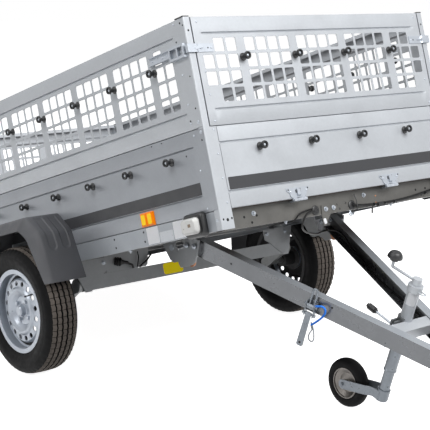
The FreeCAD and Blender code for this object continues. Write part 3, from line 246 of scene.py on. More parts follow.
def piece(name, form, body, kinds, stands_for=None, smooth=30.0):
    space = BAR if body in BAR_BODIES else BED
    mesh = bpy.data.meshes.new(name)
    mesh.from_pydata([tuple(space @ v) for v in form.verts], [], form.faces)
    mesh.polygons.foreach_set("material_index", form.slots)
    mesh.update()
    finish_piece(bpy.data.objects.new(name, mesh), body, kinds, stands_for, smooth)


def cable_curve(name, points, radius, space):
    # a round cable on a smooth line; the points are its control points
    curve = bpy.data.curves.new(name, "CURVE")
    curve.dimensions = "3D"
    curve.bevel_depth = radius / 1000
    curve.bevel_resolution = 3
    curve.use_fill_caps = True
    spline = curve.splines.new("NURBS")
    spline.points.add(len(points) - 1)
    for target, point in zip(spline.points, points):
        target.co = (*(space @ Vector(point)), 1)
    spline.order_u = 3
    spline.use_endpoint_u = True
    spline.resolution_u = 8
    return bpy.data.objects.new(name, curve)


def cable(name, points, radius, body, kind, stands_for=None):
    curve = cable_curve(name, points, radius, BAR if body in BAR_BODIES else BED)
    finish_piece(curve, body, kind, stands_for)


def mesh_of(obj):
    # the mesh that a curve shows
    bpy.context.scene.collection.objects.link(obj)
    graph = bpy.context.evaluated_depsgraph_get()
    mesh = bpy.data.meshes.new_from_object(obj.evaluated_get(graph))
    bpy.context.scene.collection.objects.unlink(obj)
    return mesh


# materials

def linear(code):
    # the colour that a hex code shows, as the shader wants it
    values = [int(code[i:i + 2], 16) / 255 for i in (1, 3, 5)]
    return [v / 12.92 if v <= 0.04045 else ((v + 0.055) / 1.055) ** 2.4 for v in values] + [1.0]


def add(tree, kind, settings=None, links=None, stops=()):
    # a node with its properties and input values, the outputs linked into it and its ramp's stops
    node = tree.nodes.new(kind)
    for key, value in (settings or {}).items():
        if key in node.inputs:
            node.inputs[key].default_value = value
        else:
            setattr(node, key, value)
    for key, output in (links or {}).items():
        tree.links.new(output, node.inputs[key])
    for n, (place, colour) in enumerate(stops):
        node.color_ramp.elements[n].position = place
        node.color_ramp.elements[n].color = colour
    return node


def shade(colour, factor):
    return [min(1.0, v * factor) for v in colour[:3]] + [1.0]


ROUGHNESS_SPREAD = 0.08
BUMP_HEIGHT = 0.0005


def surface(name, code, rough, metal, blotch, grain, **own):
    """A principled surface with soft blotches of tone, uneven roughness and a fine bump.
    Blotch and grain are (size in millimetres, strength)."""
    material = bpy.data.materials.new(name)
    material.use_nodes = True
    tree = material.node_tree
    shader = tree.nodes["Principled BSDF"]
    shader.inputs["Metallic"].default_value = metal
    shader.inputs["Emission Strength"].default_value = 0.0
    for key, value in own.items():
        shader.inputs[key.replace("_", " ")].default_value = value
    at_point = {"Vector": add(tree, "ShaderNodeTexCoord").outputs["Object"]}
    wide = {"Scale": 1000 / blotch[0], "Detail": 5.0, "Roughness": 0.6}
    clouds = add(tree, "ShaderNodeTexNoise", wide, at_point)
    stops = [(0.5 + side * 0.2, shade(linear(code), 1 + side * blotch[1])) for side in (-1, 1)]
    tone = add(tree, "ShaderNodeValToRGB", links={"Fac": clouds.outputs["Fac"]}, stops=stops)
    spots = add(tree, "ShaderNodeTexNoise", {"Scale": 1000 / (blotch[0] * 0.3), "Detail": 3.0}, at_point)
    low, high = max(0.02, rough - ROUGHNESS_SPREAD), rough + ROUGHNESS_SPREAD
    spans = {"From Min": 0.3, "From Max": 0.7, "To Min": low, "To Max": high}
    gloss = add(tree, "ShaderNodeMapRange", spans, {"Value": spots.outputs["Fac"]})
    fine = add(tree, "ShaderNodeTexNoise", {"Scale": 1000 / grain[0], "Detail": 3.0}, at_point)
    heights = {"Strength": grain[1], "Distance": BUMP_HEIGHT}
    bump = add(tree, "ShaderNodeBump", heights, {"Height": fine.outputs["Fac"]})
    for node, output, target in (
        (tone, "Color", "Base Color"), (tone, "Color", "Emission Color"),
        (gloss, "Result", "Roughness"), (bump, "Normal", "Normal"),
    ):
        tree.links.new(node.outputs[output], shader.inputs[target])
    return material


def spangled(name, code, rough, metal, cell, contrast, blotch, grain=(1.2, 0.06)):
    # zinc coating: crystal cells of slightly different tone, cell mm wide, over soft clouds
    material = surface(name, code, rough, metal, blotch, grain)
    tree = material.node_tree
    base = tree.nodes["Principled BSDF"].inputs["Base Color"]
    coords = add(tree, "ShaderNodeTexCoord").outputs["Object"]
    bends = {"Scale": 1000 / (cell * 2), "Detail": 2.0}
    bent = add(tree, "ShaderNodeTexNoise", bends, {"Vector": coords}).outputs["Color"]
    shorter = {"operation": "SCALE", "Scale": cell / 1500}
    push = add(tree, "ShaderNodeVectorMath", shorter, {0: bent}).outputs["Vector"]
    moved = add(tree, "ShaderNodeVectorMath", {"operation": "ADD"}, {0: coords, 1: push}).outputs["Vector"]
    cells = add(tree, "ShaderNodeTexVoronoi", {"Scale": 1000 / cell}, {"Vector": moved}).outputs["Color"]
    stops = [(0.2, shade([1, 1, 1], 1 - contrast)), (0.8, [1, 1, 1, 1])]
    tones = add(tree, "ShaderNodeValToRGB", links={"Fac": cells}, stops=stops).outputs["Color"]
    multiply = {"data_type": "RGBA", "blend_type": "MULTIPLY", "Factor": 1.0}
    mixed = add(tree, "ShaderNodeMix", multiply, {6: base.links[0].from_socket, 7: tones})
    tree.links.new(mixed.outputs[2], base)
    return material


MATERIALS = {
    # cold-rolled sheet, continuously galvanised: bright and even, with a fine pale spangle
    "sheet": spangled("galvanised_sheet", "#B9BDC2", 0.42, 0.25, 9.0, 0.03, (320.0, 0.035)),
    # the same sheet on the low side walls, coloured darker: painted shade for the dark ground they mirror
    # and the light falling off below
    "shaded_low_sheet": spangled("galvanised_sheet_painted_shade", "#9A9EA4", 0.4, 0.3, 9.0, 0.03, (320.0, 0.06)),
    # roll-formed galvanised strip: smoother and a little brighter where it is bent
    "rail": spangled("galvanised_rail_sheet", "#9CA1A7", 0.38, 0.3, 9.0, 0.03, (260.0, 0.05)),
    # laser-cut and folded plate, dipped in zinc: soft light and dark patches a hand wide
    "bracket": spangled("galvanised_bracket_plate", "#A6A9AC", 0.42, 0.3, 9.0, 0.04, (90.0, 0.06)),
    # press-braked channel of the drawbar, smooth dark zinc with a satin sheen
    "arm": spangled("galvanised_drawbar_channel", "#6A6C6F", 0.3, 0.6, 14.0, 0.03, (260.0, 0.06)),
    # hot-dip galvanised chassis steel: duller, with large crystals and cloudy patches
    "dipped": spangled("hot_dip_galvanised_steel", "#8B8D8E", 0.42, 0.45, 14.0, 0.08, (160.0, 0.09)),
    # galvanised front beam: brownish grey and darker than the other zinc, painted shade under the gate and
    # a painted reflection of dark ground; cloudy patches of tone
    "beam": spangled("galvanised_beam_painted_shade", "#646360", 0.4, 0.45, 14.0, 0.06, (160.0, 0.12)),
    # drawn steel, zinc plated and blue passivated: even, cool and half glossy
    "blue_zinc": surface("blue_passivated_steel", "#7F858C", 0.34, 0.4, (50.0, 0.06), (3.0, 0.01)),
    # small pressed parts, electroplated with zinc: the brightest metal, nearly without texture
    "zinc": surface("zinc_plated_steel", "#B6BCC4", 0.34, 0.45, (60.0, 0.04), (3.0, 0.002)),
    # clamped and stamped steel with a dark coating: half matt, slightly rough to the light
    "dark_steel": surface("dark_coated_steel", "#6A6D6F", 0.5, 0.4, (60.0, 0.1), (1.5, 0.1)),
    # sand-cast iron, galvanised: a pebbled skin; its 0.4 mm grain is drawn 1 mm wide so that it shows
    "cast": surface("cast_iron_galvanised", "#8C8F92", 0.55, 0.6, (30.0, 0.12), (1.0, 0.3)),
    # moulded polyethylene in charcoal: matt, with the leather-like grain of its mould
    "guard": surface("moulded_polyethylene_charcoal", "#434448", 0.55, 0.0, (200.0, 0.06), (1.2, 0.35)),
    # injection-moulded nylon: near black with a soft gloss
    "black": surface("moulded_black_nylon", "#161719", 0.42, 0.0, (30.0, 0.1), (0.8, 0.03)),
    # vulcanised rubber of the tyres' walls: deep black that hardly reflects
    "rubber": surface(
        "tyre_rubber", "#0A0A0B", 0.6, 0.0, (60.0, 0.15), (1.5, 0.1), Specular_IOR_Level=0.1,
    ),
    # the ribs of the tread, worn matt and brown-grey with dry dust
    "tread": surface("dusty_tread_rubber", "#67605A", 0.9, 0.0, (25.0, 0.22), (1.5, 0.4)),
    # pressed steel disc, sprayed silver and lacquered: fine metal sparkle under a thin gloss
    "rim": surface(
        "silver_wheel_paint", "#A9B0BA", 0.35, 0.35, (90.0, 0.05), (0.6, 0.04), Coat_Weight=0.3,
    ),
    # inner side of the wheels, coloured dark and dull: painted shade where the bed keeps the light off
    "shaded_inner_rim": surface("wheel_inside_painted_shade", "#2B2B2C", 0.7, 0.0, (60.0, 0.15), (2.0, 0.1)),
    # small stamped wheel disc, worn: blotchy warm grey steel
    "dull_rim": surface("worn_steel_disc", "#77736F", 0.35, 0.7, (25.0, 0.12), (2.0, 0.02)),
    # extruded PVC sheath of the cables: matt black, lighter only along its top
    "pvc": surface(
        "black_pvc_sheath", "#0C0C0D", 0.55, 0.0, (20.0, 0.1), (0.8, 0.02), Specular_IOR_Level=0.25,
    ),
    # birch plywood pressed with a phenolic film: dark brown with a fine mesh-like grip
    "ply": surface("phenolic_film_plywood", "#4A3A30", 0.5, 0.0, (80.0, 0.15), (1.5, 0.3)),
    # cast vinyl film of the stripes: flat dark grey without sparkle
    "stripe": surface(
        "dark_grey_vinyl", "#3A3B3E", 0.5, 0.0, (150.0, 0.04), (1.0, 0.02), Specular_IOR_Level=0.35,
    ),
    # white label film, bare: clean, cool white
    "label": surface("white_label_film", "#F2F4F8", 0.4, 0.0, (30.0, 0.03), (0.8, 0.02)),
    # fluorescent yellow label film, bare: a faint emission, painted light, keeps it bright in the shade of
    # the box
    "yellow": surface(
        "yellow_label_film", "#FFE61C", 0.5, 0.0, (30.0, 0.03), (0.8, 0.02), Specular_IOR_Level=0.2,
        Emission_Strength=0.25,
    ),
    # silver polyester film of the data plate, bare: slightly metallic
    "plate_film": surface("silver_label_film", "#B9BDC2", 0.35, 0.3, (30.0, 0.03), (0.8, 0.01)),
    # injection-moulded clear acrylic over a white reflector: milky white with a gloss
    "lens": surface(
        "clear_white_acrylic", "#E4E4E2", 0.2, 0.0, (30.0, 0.04), (3.0, 0.05), Coat_Weight=0.3,
    ),
    # prismatic orange acrylic: a faint emission, painted light, stands in for the light it throws back, so
    # it stays bright in the shade
    "orange": surface(
        "orange_reflector_acrylic", "#FF8A00", 0.3, 0.0, (10.0, 0.06), (2.0, 0.1), Specular_IOR_Level=0.2,
        Emission_Strength=0.2,
    ),
    # the prism fields of the same reflector, brighter and more yellow, with a stronger emission as painted
    # light
    "amber": surface(
        "amber_prism_acrylic", "#FFD000", 0.3, 0.0, (10.0, 0.04), (2.0, 0.1), Specular_IOR_Level=0.2,
        Emission_Strength=0.3,
    ),
    # moulded red acrylic of the rear lamps: deep and glossy
    "red": surface(
        "red_lens_acrylic", "#B40C10", 0.15, 0.0, (20.0, 0.05), (2.0, 0.4), Coat_Weight=0.8,
    ),
    # light-emitting chip and its board behind the lens: small brown fields
    "chip": surface("brown_lamp_chip", "#8C7A66", 0.5, 0.0, (5.0, 0.1), (0.5, 0.02)),
    # braided nylon cord: saturated blue, matt from its fibres
    "cord": surface("blue_nylon_cord", "#2C86FF", 0.7, 0.0, (6.0, 0.1), (0.8, 0.1)),
    # unlit depth of a punched hole
    "hole": surface("dark_recess", "#0B0B0C", 0.9, 0.0, (20.0, 0.05), (1.0, 0.0)),
    # zinc-plated steel, yellow passivated: warm copper tone of bushes and earth screws
    "copper": surface("passivated_bolt_steel", "#A8785A", 0.4, 0.7, (10.0, 0.1), (0.8, 0.1)),
}

NODE_MATERIALS = {
    "sheet": (
        "drawbar_crossbar", "jockey_tube", "jockey_crank", "side_panel", "mesh_side", "front_panel",
        "rear_panel", "front_mesh", "rear_mesh", "corner_posts",
    ),
    "rail": ("chassis_rails",),
    "bracket": ("tip_brackets", "hinge_plates", "axle"),
    "beam": ("front_beam",),
    "arm": ("drawbar_arm",),
    "dipped": ("rear_beam", "cross_members", "swing_arms"),
    "zinc": ("gate_latches", "front_keepers", "rear_keepers", "front_hinge", "rear_hinge", "hinge_tongues"),
    "blue_zinc": ("tip_latch", "jockey_leg", "jockey_fork"),
    "dull_rim": ("jockey_rim",),
    "dark_steel": ("coupling_handle", "jockey_clamp"),
    "cast": ("coupling_head",),
    "guard": ("mudguard",),
    "black": (
        "side_knobs", "front_knobs", "rear_knobs", "post_caps", "lamp_holders", "cable_plug", "clamp_lever",
    ),
    "rubber": ("jockey_tyre", "tyre"),
    "rim": ("rim", "hub"),
    "pvc": ("beam_cable", "tip_cable", "arm_cable"),
    "ply": ("floor",),
    "lens": ("position_lamps",),
    "orange": ("side_reflectors",),
    "red": ("rear_lamps",),
}


def dress_nodes():
    # every CAD node gets the material whose list names the start of its name
    for name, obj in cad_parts.items():
        kind = next(k for k, starts in NODE_MATERIALS.items() if name.startswith(starts))
        obj.data.materials.clear()
        obj.data.materials.append(MATERIALS[kind])
        for face in obj.data.polygons:
            face.material_index = 0


def second_tone(node, kind, space, test):
    # gives a CAD node a second material on the faces that pass the test of corners and normal
    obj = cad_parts[node]
    obj.data.materials.append(MATERIALS[kind])
    back = space.inverted() @ obj.matrix_world
    turn = back.to_3x3()
    corners = [back @ vertex.co for vertex in obj.data.vertices]
    for face in obj.data.polygons:
        if test([corners[n] for n in face.vertices], (turn @ face.normal).normalized()):
            face.material_index = 1


def two_tone_nodes():
    grip_z = JOCKEY_TOP + 63.0
    grip_x = JOCKEY_X - 90.0
    lever_end = JOCKEY_X - 100.0
    bush_reach = 26.0
    disc_y = abs(WHEEL.y) + 28.0

    def on_grip(corners, normal):
        return all(p.x < grip_x and p.z > grip_z for p in corners)

    def on_lever(corners, normal):
        return any(p.x > lever_end for p in corners)

    def on_bush(corners, normal):
        near = all(math.hypot(p.x - BUSH.x, p.z - BUSH.y) < bush_reach for p in corners)
        return near and all(abs(p.y) < PLATE_Y for p in corners)

    # inner halves of the rims and hubs get the dark tone, painted shade
    def on_shaded_inner_side(corners, normal):
        side = 1 if corners[0].y > 0 else -1
        return all(abs(p.y) < disc_y for p in corners) or normal.y * side < -0.1

    # up-facing flange faces of the arms take the lighter rail sheet: a painted highlight from the light
    # above
    def on_lit_flange_top(corners, normal):
        return normal.z > 0.9 and corners[0].z > ARM_TOP - 5

    second_tone("jockey_crank", "black", BAR, on_grip)
    second_tone("clamp_lever", "zinc", BAR, on_lever)
    second_tone("tip_brackets", "copper", BAR, on_bush)
    for _, word in SIDES:
        second_tone("drawbar_arm_" + word, "rail", BAR, on_lit_flange_top)
        second_tone("rim_" + word, "shaded_inner_rim", BED, on_shaded_inner_side)
        second_tone("hub_" + word, "shaded_inner_rim", BED, on_shaded_inner_side)


EASED = (
    "chassis_rails", "front_beam", "rear_beam", "cross_members", "drawbar_arm", "drawbar_crossbar",
    "axle_tube", "axle_brackets", "tip_brackets", "hinge_plates", "corner_posts", "gate_latches",
    "front_keepers", "rear_keepers", "tip_latch", "jockey_fork", "front_hinge_leaves", "rear_hinge_leaves",
)
FOLDED = ("drawbar", "chassis", "axle_tube")
# widths of the light line, in metres
FOLDED_EASE = 0.003
CUT_EASE = 0.0006


def ease_edges():
    # folded and cut edges catch a thin line of light
    for name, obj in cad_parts.items():
        if name.startswith(EASED):
            folded = name.startswith(FOLDED)
            bevel = obj.modifiers.new("eased_edges", "BEVEL")
            bevel.width = FOLDED_EASE if folded else CUT_EASE
            bevel.segments = 3 if folded else 2
            bevel.limit_method = "ANGLE"
            bevel.angle_limit = math.radians(50)


# folded sheets of the box and its gates

SHEET = 2.0
FOLD_DEPTH = 30.0
FOLD_RETURN = 18.0
BEND = 3.0
BEND_MIDDLE = 0.9
SIDE_END = 2.5
SIDE_INSET = 26.8
GATE_INSET = 2.0
PANEL_Z = (RAIL_HEIGHT + 2.0, SEAM_Z - 1.0)
MESH_Z = (SEAM_Z + 1.0, TOP_Z)
PANEL_HALF = HALF - 62.0
MESH_HALF = HALF - 35.0
WINDOW = (48.0, 50.6)
WINDOW_PITCH = (59.3, 62.1)
WINDOW_CORNER = 4.0
WINDOW_TOP_Z = TOP_Z - 106.0
SIDE_EDGE_ROWS = (range(4), range(1, 4))
GATE_EDGE_ROWS = (range(4), range(4), range(1, 3))
PANEL_GROOVES = (132.0, 312.0)
MESH_GROOVES = (434.0, 715.0)
GROOVE_RUNOUT = 10.0
# how far the grooves stop short of a side's ends and of a gate's mesh; past a gate's panel, they run out
SIDE_GROOVE_END = 76.0
MESH_GROOVE_END = 36.0
PANEL_GROOVE_END = -20.0
# (height from the groove's middle, depth): a sloping floor under a steep wall
GROOVE = ((-5.6, 0.0), (-2.8, 2.0), (1.2, 5.8), (2.8, 6.2), (4.0, 1.2), (4.8, 0.0))


def rib_places(first_rib, length):
    count = int((length - 2 * first_rib + 1) / GROUP_PITCH) + 1
    return [first_rib + n * GROUP_PITCH for n in range(count)]


def window_grid(first_rib, length, edge_rows):
    # middles of the mesh windows: four columns between ribs, fewer beyond the last ones
    ribs = rib_places(first_rib, length)
    levels = [WINDOW_TOP_Z - row * WINDOW_PITCH[1] for row in range(4)]
    windows = []
    for rib in ribs[:-1]:
        for n in range(4):
            u = rib + GROUP_PITCH / 2 + (n - 1.5) * WINDOW_PITCH[0]
            windows += [(u, z) for z in levels]
    inset = GROUP_PITCH / 2 - 1.5 * WINDOW_PITCH[0]
    for n, rows in enumerate(edge_rows):
        step = inset + n * WINDOW_PITCH[0]
        for row in rows:
            windows += [(ribs[0] - step, levels[row]), (ribs[-1] + step, levels[row])]
    return windows


def fold_rows(z, side):
    # (height, depth, normal across, normal up) from the end of the return flange to the face
    near = BEND_MIDDLE
    return [
        (z - side * FOLD_RETURN, FOLD_DEPTH, 1.0, 0.0), (z - side * BEND, FOLD_DEPTH, 1.0, 0.0),
        (z - side * near, FOLD_DEPTH - near, 0.7, 0.7 * side), (z, FOLD_DEPTH - BEND, 0.0, side),
        (z, BEND, 0.0, side), (z - side * near, near, -0.7, 0.7 * side),
    ]


def groove_depth(z, grooves):
    for middle in grooves:
        for (z0, d0), (z1, d1) in zip(GROOVE[:-1], GROOVE[1:]):
            if z0 <= z - middle <= z1:
                return d0 + (d1 - d0) * (z - middle - z0) / (z1 - z0)
    return 0.0


def window_cell(u, z, windows):
    # outside a window, inside it, or in one of its cut corners
    for wu, wz in windows:
        du = abs(u - wu) - WINDOW[0] / 2
        dz = abs(z - wz) - WINDOW[1] / 2
        if du < 0 and dz < 0:
            if du > -WINDOW_CORNER and dz > -WINDOW_CORNER:
                return (u > wu, z > wz)
            return "open"
    return "sheet"


# the three corners of a cell that a window's cut corner leaves, by (right of its middle, above it)
CUT_CORNERS = {
    (True, True): (1, 2, 3), (False, True): (2, 3, 0), (False, False): (3, 0, 1), (True, False): (0, 1, 2),
}


def sheet_lines(u0, u1, z0, z1, grooves, span, windows, inset):
    # where a sheet's grid has its lines: ends, folds, windows and grooves
    us = {u0, u1, u0 + inset, u1 - inset}
    us |= {span[0], span[0] + GROOVE_RUNOUT, span[1] - GROOVE_RUNOUT, span[1]}
    zs = {z0 + BEND, z1 - BEND}
    for u, z in windows:
        for side in (-1, 1):
            for cut in (0.0, WINDOW_CORNER):
                us.add(u + side * (WINDOW[0] / 2 - cut))
                zs.add(z + side * (WINDOW[1] / 2 - cut))
    for middle in grooves:
        zs |= {middle + step for step, _ in GROOVE}
    return sorted({round(u, 2) for u in us if u0 <= u <= u1}), [round(z, 2) for z in sorted(zs)]


def folded_sheet(form, u0, u1, z0, z1, grooves, span, windows, inset, place):
    """A pressed sheet along local X, its face on y = 0 looking along -Y, with rolled grooves,
    windows, and folded edges above and below that stop short of the ends."""
    us, zs = sheet_lines(u0, u1, z0, z1, grooves, span, windows, inset)
    low = fold_rows(z0, -1)
    rows = low + [(z, 0.0, -1.0, 0.0) for z in zs] + fold_rows(z1, 1)[::-1]
    face_rows = range(len(low), len(low) + len(zs))
    outer = []
    inner = []
    for k, (z, y, across, up) in enumerate(rows):
        for u in us:
            reach = max(0.0, min(1.0, (u - span[0]) / GROOVE_RUNOUT, (span[1] - u) / GROOVE_RUNOUT))
            depth = y + (reach * groove_depth(z, grooves) if k in face_rows else 0.0)
            outer.append((u, depth, z))
            inner.append((u, depth - across * SHEET, z - up * SHEET))
    count = len(us)
    skins = []
    for k in range(len(rows) - 1):
        on_face = k in face_rows and k + 1 in face_rows
        for i in range(count - 1):
            u = (us[i] + us[i + 1]) / 2
            if not on_face and not u0 + inset < u < u1 - inset:
                continue
            cell = (k * count + i, k * count + i + 1, (k + 1) * count + i + 1, (k + 1) * count + i)
            kind = window_cell(u, (rows[k][0] + rows[k + 1][0]) / 2, windows) if on_face else "sheet"
            if kind == "sheet":
                skins.append(cell)
            elif kind != "open":
                skins.append(tuple(cell[n] for n in CUT_CORNERS[kind]))
    edges = set()
    for skin in skins:
        edges |= set(zip(skin, skin[1:] + skin[:1]))
    shift = len(outer)
    faces = [list(skin) for skin in skins] + [[shift + v for v in skin[::-1]] for skin in skins]
    faces += [[a, shift + a, shift + b, b] for a, b in edges if (b, a) not in edges]
    form.add(outer + inner, faces, place)


def gate_sheet(name, node, middle, half, levels, grooves, groove_end, windows, place):
    # one of the two sheets of a gate, with a strip folded back at each end
    form = Form()
    u0, u1 = middle - half, middle + half
    span = (u0 + groove_end, u1 - groove_end)
    folded_sheet(form, u0, u1, *levels, grooves, span, windows, GATE_INSET, place)
    for u in (u0, u1 - SHEET):
        form.block(u, u + SHEET, SHEET, FOLD_DEPTH, *levels, place)
    piece(name, form, "gate_" + node.split("_")[0], "sheet", node)


def box_sheets():
    side_windows = window_grid(SIDE_FIRST_RIB, BOX_LENGTH, SIDE_EDGE_ROWS)
    gate_windows = window_grid(GATE_FIRST_RIB, 2 * HALF, GATE_EDGE_ROWS)
    span = (SIDE_GROOVE_END, BOX_LENGTH - SIDE_GROOVE_END)
    ends = (SIDE_END, BOX_LENGTH - SIDE_END)
    for side, word in SIDES:
        place = Matrix.Translation((-BOX_LENGTH, -HALF, 0))
        place = MIRROR @ place if side > 0 else place
        # the low side walls take the darker copy of the sheet, painted shade
        for name, kind, levels, grooves, windows in (
            ("side_panel_", "shaded_low_sheet", PANEL_Z, PANEL_GROOVES, []),
            ("mesh_side_", "sheet", MESH_Z, MESH_GROOVES, side_windows),
        ):
            form = Form()
            folded_sheet(form, *ends, *levels, grooves, span, windows, SIDE_INSET, place)
            piece(name + "sheet_" + word, form, "bed", kind, name + word)
    for word, out, x in ENDS:
        turn = Matrix.Translation((x, 0, 0)) @ Matrix.Rotation(out * math.pi / 2, 4, "Z")
        gate_sheet(
            word + "_lower_sheet", word + "_panel", 0.0, PANEL_HALF, PANEL_Z, PANEL_GROOVES,
            PANEL_GROOVE_END, [], turn,
        )
        gate_sheet(
            word + "_mesh_sheet", word + "_mesh", HALF, MESH_HALF, MESH_Z, MESH_GROOVES,
            MESH_GROOVE_END, gate_windows, turn @ Matrix.Translation((-HALF, 0, 0)),
        )


# tie knobs: (radius, height) from the foot to the hollow of the crown, and the screw in it

KNOB = (
    (14.2, 0.0), (15.0, 0.8), (15.0, 3.4), (13.8, 4.8), (9.0, 6.6), (7.6, 9.5), (7.4, 17.0), (8.6, 21.0),
    (13.2, 23.0), (15.0, 24.8), (15.2, 29.5), (14.2, 32.6), (12.2, 33.8), (10.2, 33.2), (8.8, 31.0),
    (8.4, 27.0), (0.5, 26.6),
)
KNOB_SCREW = ((5.2, 26.0), (5.2, 28.6), (4.2, 29.8), (0.5, 30.4))
KNOB_Z = (TOP_Z - 156.0, SEAM_Z - 90.0)
KNOB_SHIFT = 15.0


def knobs(name, node, body, places):
    form = Form()
    for point, normal in places:
        form.lathe(KNOB, at(point, normal), 20)
        form.lathe(KNOB_SCREW, at(point, normal), 10, 1)
    piece(name, form, body, "black zinc", node)


def tie_knobs():
    places = []
    for rib in rib_places(SIDE_FIRST_RIB, BOX_LENGTH):
        for side, _ in SIDES:
            places += [((KNOB_SHIFT - rib, side * HALF, z), (0, side, 0)) for z in KNOB_Z]
    knobs("side_tie_knobs", "side_knobs", "bed", places)
    for word, out, x in ENDS:
        places = []
        for rib in rib_places(GATE_FIRST_RIB, 2 * HALF):
            places += [((x, rib - HALF, z), (out, 0, 0)) for z in KNOB_Z]
        knobs(word + "_tie_knobs", word + "_knobs", "gate_" + word, places)


# mudguards: corners of half an arch as (distance from the wheel's middle, height), and their walls

GUARD_BAND = ((305.0, -70.0), (256.0, 141.0), (174.0, 222.0))
GUARD_ARCH = ((297.0, -70.0), (214.0, 129.0), (160.0, 172.0))
GUARD_WALL = ((4.0, 0.0), (4.0, 2.0), (2.0, 4.0))
GUARD_CORNER = 20.0
GUARD_INNER_Y = 655.0
GUARD_OUTER_Y = 852.0
GUARD_LIP = 1.2
# (distance from the middle plane, share of the way to the arch) on the underside
GUARD_UNDERSIDE = ((851.0, 1.0), (846.0, 0.9), (824.0, 0.2), (816.0, 0.0), (735.0, 0.0), (655.0, 0.0))
CHANNELS = ((681.0, 717.0), (745.0, 782.0))
CHANNEL_FOOT_Z = 84.0
CHANNEL_TOP_Z = 214.0
CHANNEL_DEPTH = 3.2
CHANNEL_EDGE = 5.0
CHANNEL_FADE = 8.0


def soft_corner(first, corner, last, share):
    # a point of the round that joins two straight stretches at a corner
    return first.lerp(corner, share).lerp(corner.lerp(last, share), share)


def guard_line(corners, wall):
    # half an arch from its foot to the middle of its top, with soft corners
    points = [Vector((x - dx * wall, z - dz * wall)) for (x, z), (dx, dz) in zip(corners, GUARD_WALL)]
    points.append(Vector((0.0, points[-1].y)))
    line = []
    start = points[0]
    for before, corner, after, steps in zip(points, points[1:], points[2:], (48, 16)):
        first = corner - (corner - before).normalized() * GUARD_CORNER
        last = corner + (after - corner).normalized() * GUARD_CORNER
        line += [start.lerp(first, k / steps) for k in range(steps)]
        line += [soft_corner(first, corner, last, k / 10) for k in range(10)]
        start = last
    return line + [start.lerp(points[-1], k / 12) for k in range(13)]


def guard_stations():
    # (distance from the middle plane, share of the way from the band to the arch) across a guard
    ys = [GUARD_INNER_Y + n * 6.0 for n in range(4)]
    for low, high in CHANNELS:
        ys += [low - 5 + n * 2.0 for n in range(int((high - low + 10) / 2) + 1)]
    ys += [724.0, 733.0, 790.0, 797.0, 804.0]
    stations = [(y, 0.0) for y in sorted(ys)]
    first, corner, last = Vector((806.0, 0.0)), Vector((820.0, 0.0)), Vector((831.0, 0.34))
    stations += [tuple(soft_corner(first, corner, last, n / 8)) for n in range(1, 9)]
    return stations + [(838.0, 0.56), (845.0, 0.78), (849.5, 0.92), (GUARD_OUTER_Y, 0.985)]


def channel_mask(y, along, z):
    # 1 inside a pressed channel and 0 outside, with a soft edge; its foot is round
    for low, high in CHANNELS:
        sideways = abs(y - (low + high) / 2)
        distance = math.hypot(sideways, along) if along < 0 else sideways
        inside = ((high - low) / 2 - distance) / CHANNEL_EDGE + 0.5
        edge = max(0.0, min(1.0, inside, (CHANNEL_TOP_Z - z) / CHANNEL_FADE))
        if edge:
            return edge * edge * (3 - 2 * edge)
    return 0.0


def mudguard(side, word):
    band, arch = guard_line(GUARD_BAND, 0), guard_line(GUARD_ARCH, 0)
    band_in, arch_in = guard_line(GUARD_BAND, 1), guard_line(GUARD_ARCH, 1)
    (foot_x, foot_z), (corner_x, corner_z) = GUARD_BAND[:2]
    per_height = math.hypot(1, (corner_x - foot_x) / (corner_z - foot_z))
    stations = guard_stations()
    rings = []
    for n in range(len(band)):
        run = (band[min(len(band) - 1, n + 1)] - band[max(0, n - 1)]).normalized()
        inward = Vector((-run.y, run.x)) if run.y > 0.01 else Vector((0, -1))
        ring = []
        for y, share in stations:
            point = band[n].lerp(arch[n], share)
            along = (point.y - CHANNEL_FOOT_Z) * per_height
            point += inward * (CHANNEL_DEPTH * channel_mask(y, along, point.y))
            ring.append((point.x, -y, point.y))
        lip = arch[n].lerp(arch_in[n], 0.5)
        ring.append((lip.x, -GUARD_OUTER_Y - GUARD_LIP, lip.y))
        for y, share in GUARD_UNDERSIDE:
            point = band_in[n].lerp(arch_in[n], share)
            ring.append((point.x, -y, point.y))
        rings.append(ring)
    back = [[(-x, y, z) for x, y, z in ring] for ring in rings[:-1]]
    form = Form()
    place = Matrix.Translation((WHEEL.x, 0, 0))
    form.rings(back + rings[::-1], MIRROR @ place if side > 0 else place)
    piece("mudguard_shell_" + word, form, "bed", "guard", "mudguard_" + word, 50)


# wheels

TREAD_DEPTH = 7.5
# (middle, width) of the grooves that run round the tread
TREAD_GROOVES = ((-37.0, 3.6), (-12.5, 5.2), (12.5, 5.2), (37.0, 3.6))
# (radius, y, sideways wave, shoulder notch) of the outer shoulder; the inner one mirrors it
SHOULDER = ((263.5, -64.0, 0, 1.0), (268.0, -57.0, 0, 1.0), (270.0, -50.0, 0, 0.4))
SHOULDER_NOTCH = 2.5
# (radius, y) from the bead to the shoulder of a sidewall, with the rim guard and two fine rings
WALL = (
    (165.2, 56.5), (172.0, 58.0), (180.0, 60.6), (187.0, 66.0), (192.0, 69.5), (197.0, 70.0), (206.0, 74.5),
    (219.0, 77.2), (232.0, 77.4), (234.0, 76.6), (236.0, 77.0), (246.0, 74.8), (255.0, 70.5),
)
TREAD_PITCHES = 61
# each pitch of the tread holds two narrow cross cuts, and the grooves run in a zigzag
CUTS = (0.0, 0.08, 0.5, 0.58)
WAVE = (-1.5, -1.1, 1.5, 1.1)
VALVE = ((3.5, -6), (3.5, 14), (2.8, 16), (2.8, 30), (4.0, 30), (4.0, 38), (2.0, 39))
VALVE_PLACE = (120.0, 44.0, 60.0)
# (radius, half width) of the solid jockey tyre, up to a moulding line round its middle
JOCKEY_WALL = (
    (62.2, 20.5), (66.0, 23.5), (74.0, 24.6), (84.0, 24.0), (92.0, 20.5), (97.5, 14.0), (99.4, 6.0),
    (99.6, 1.0),
)


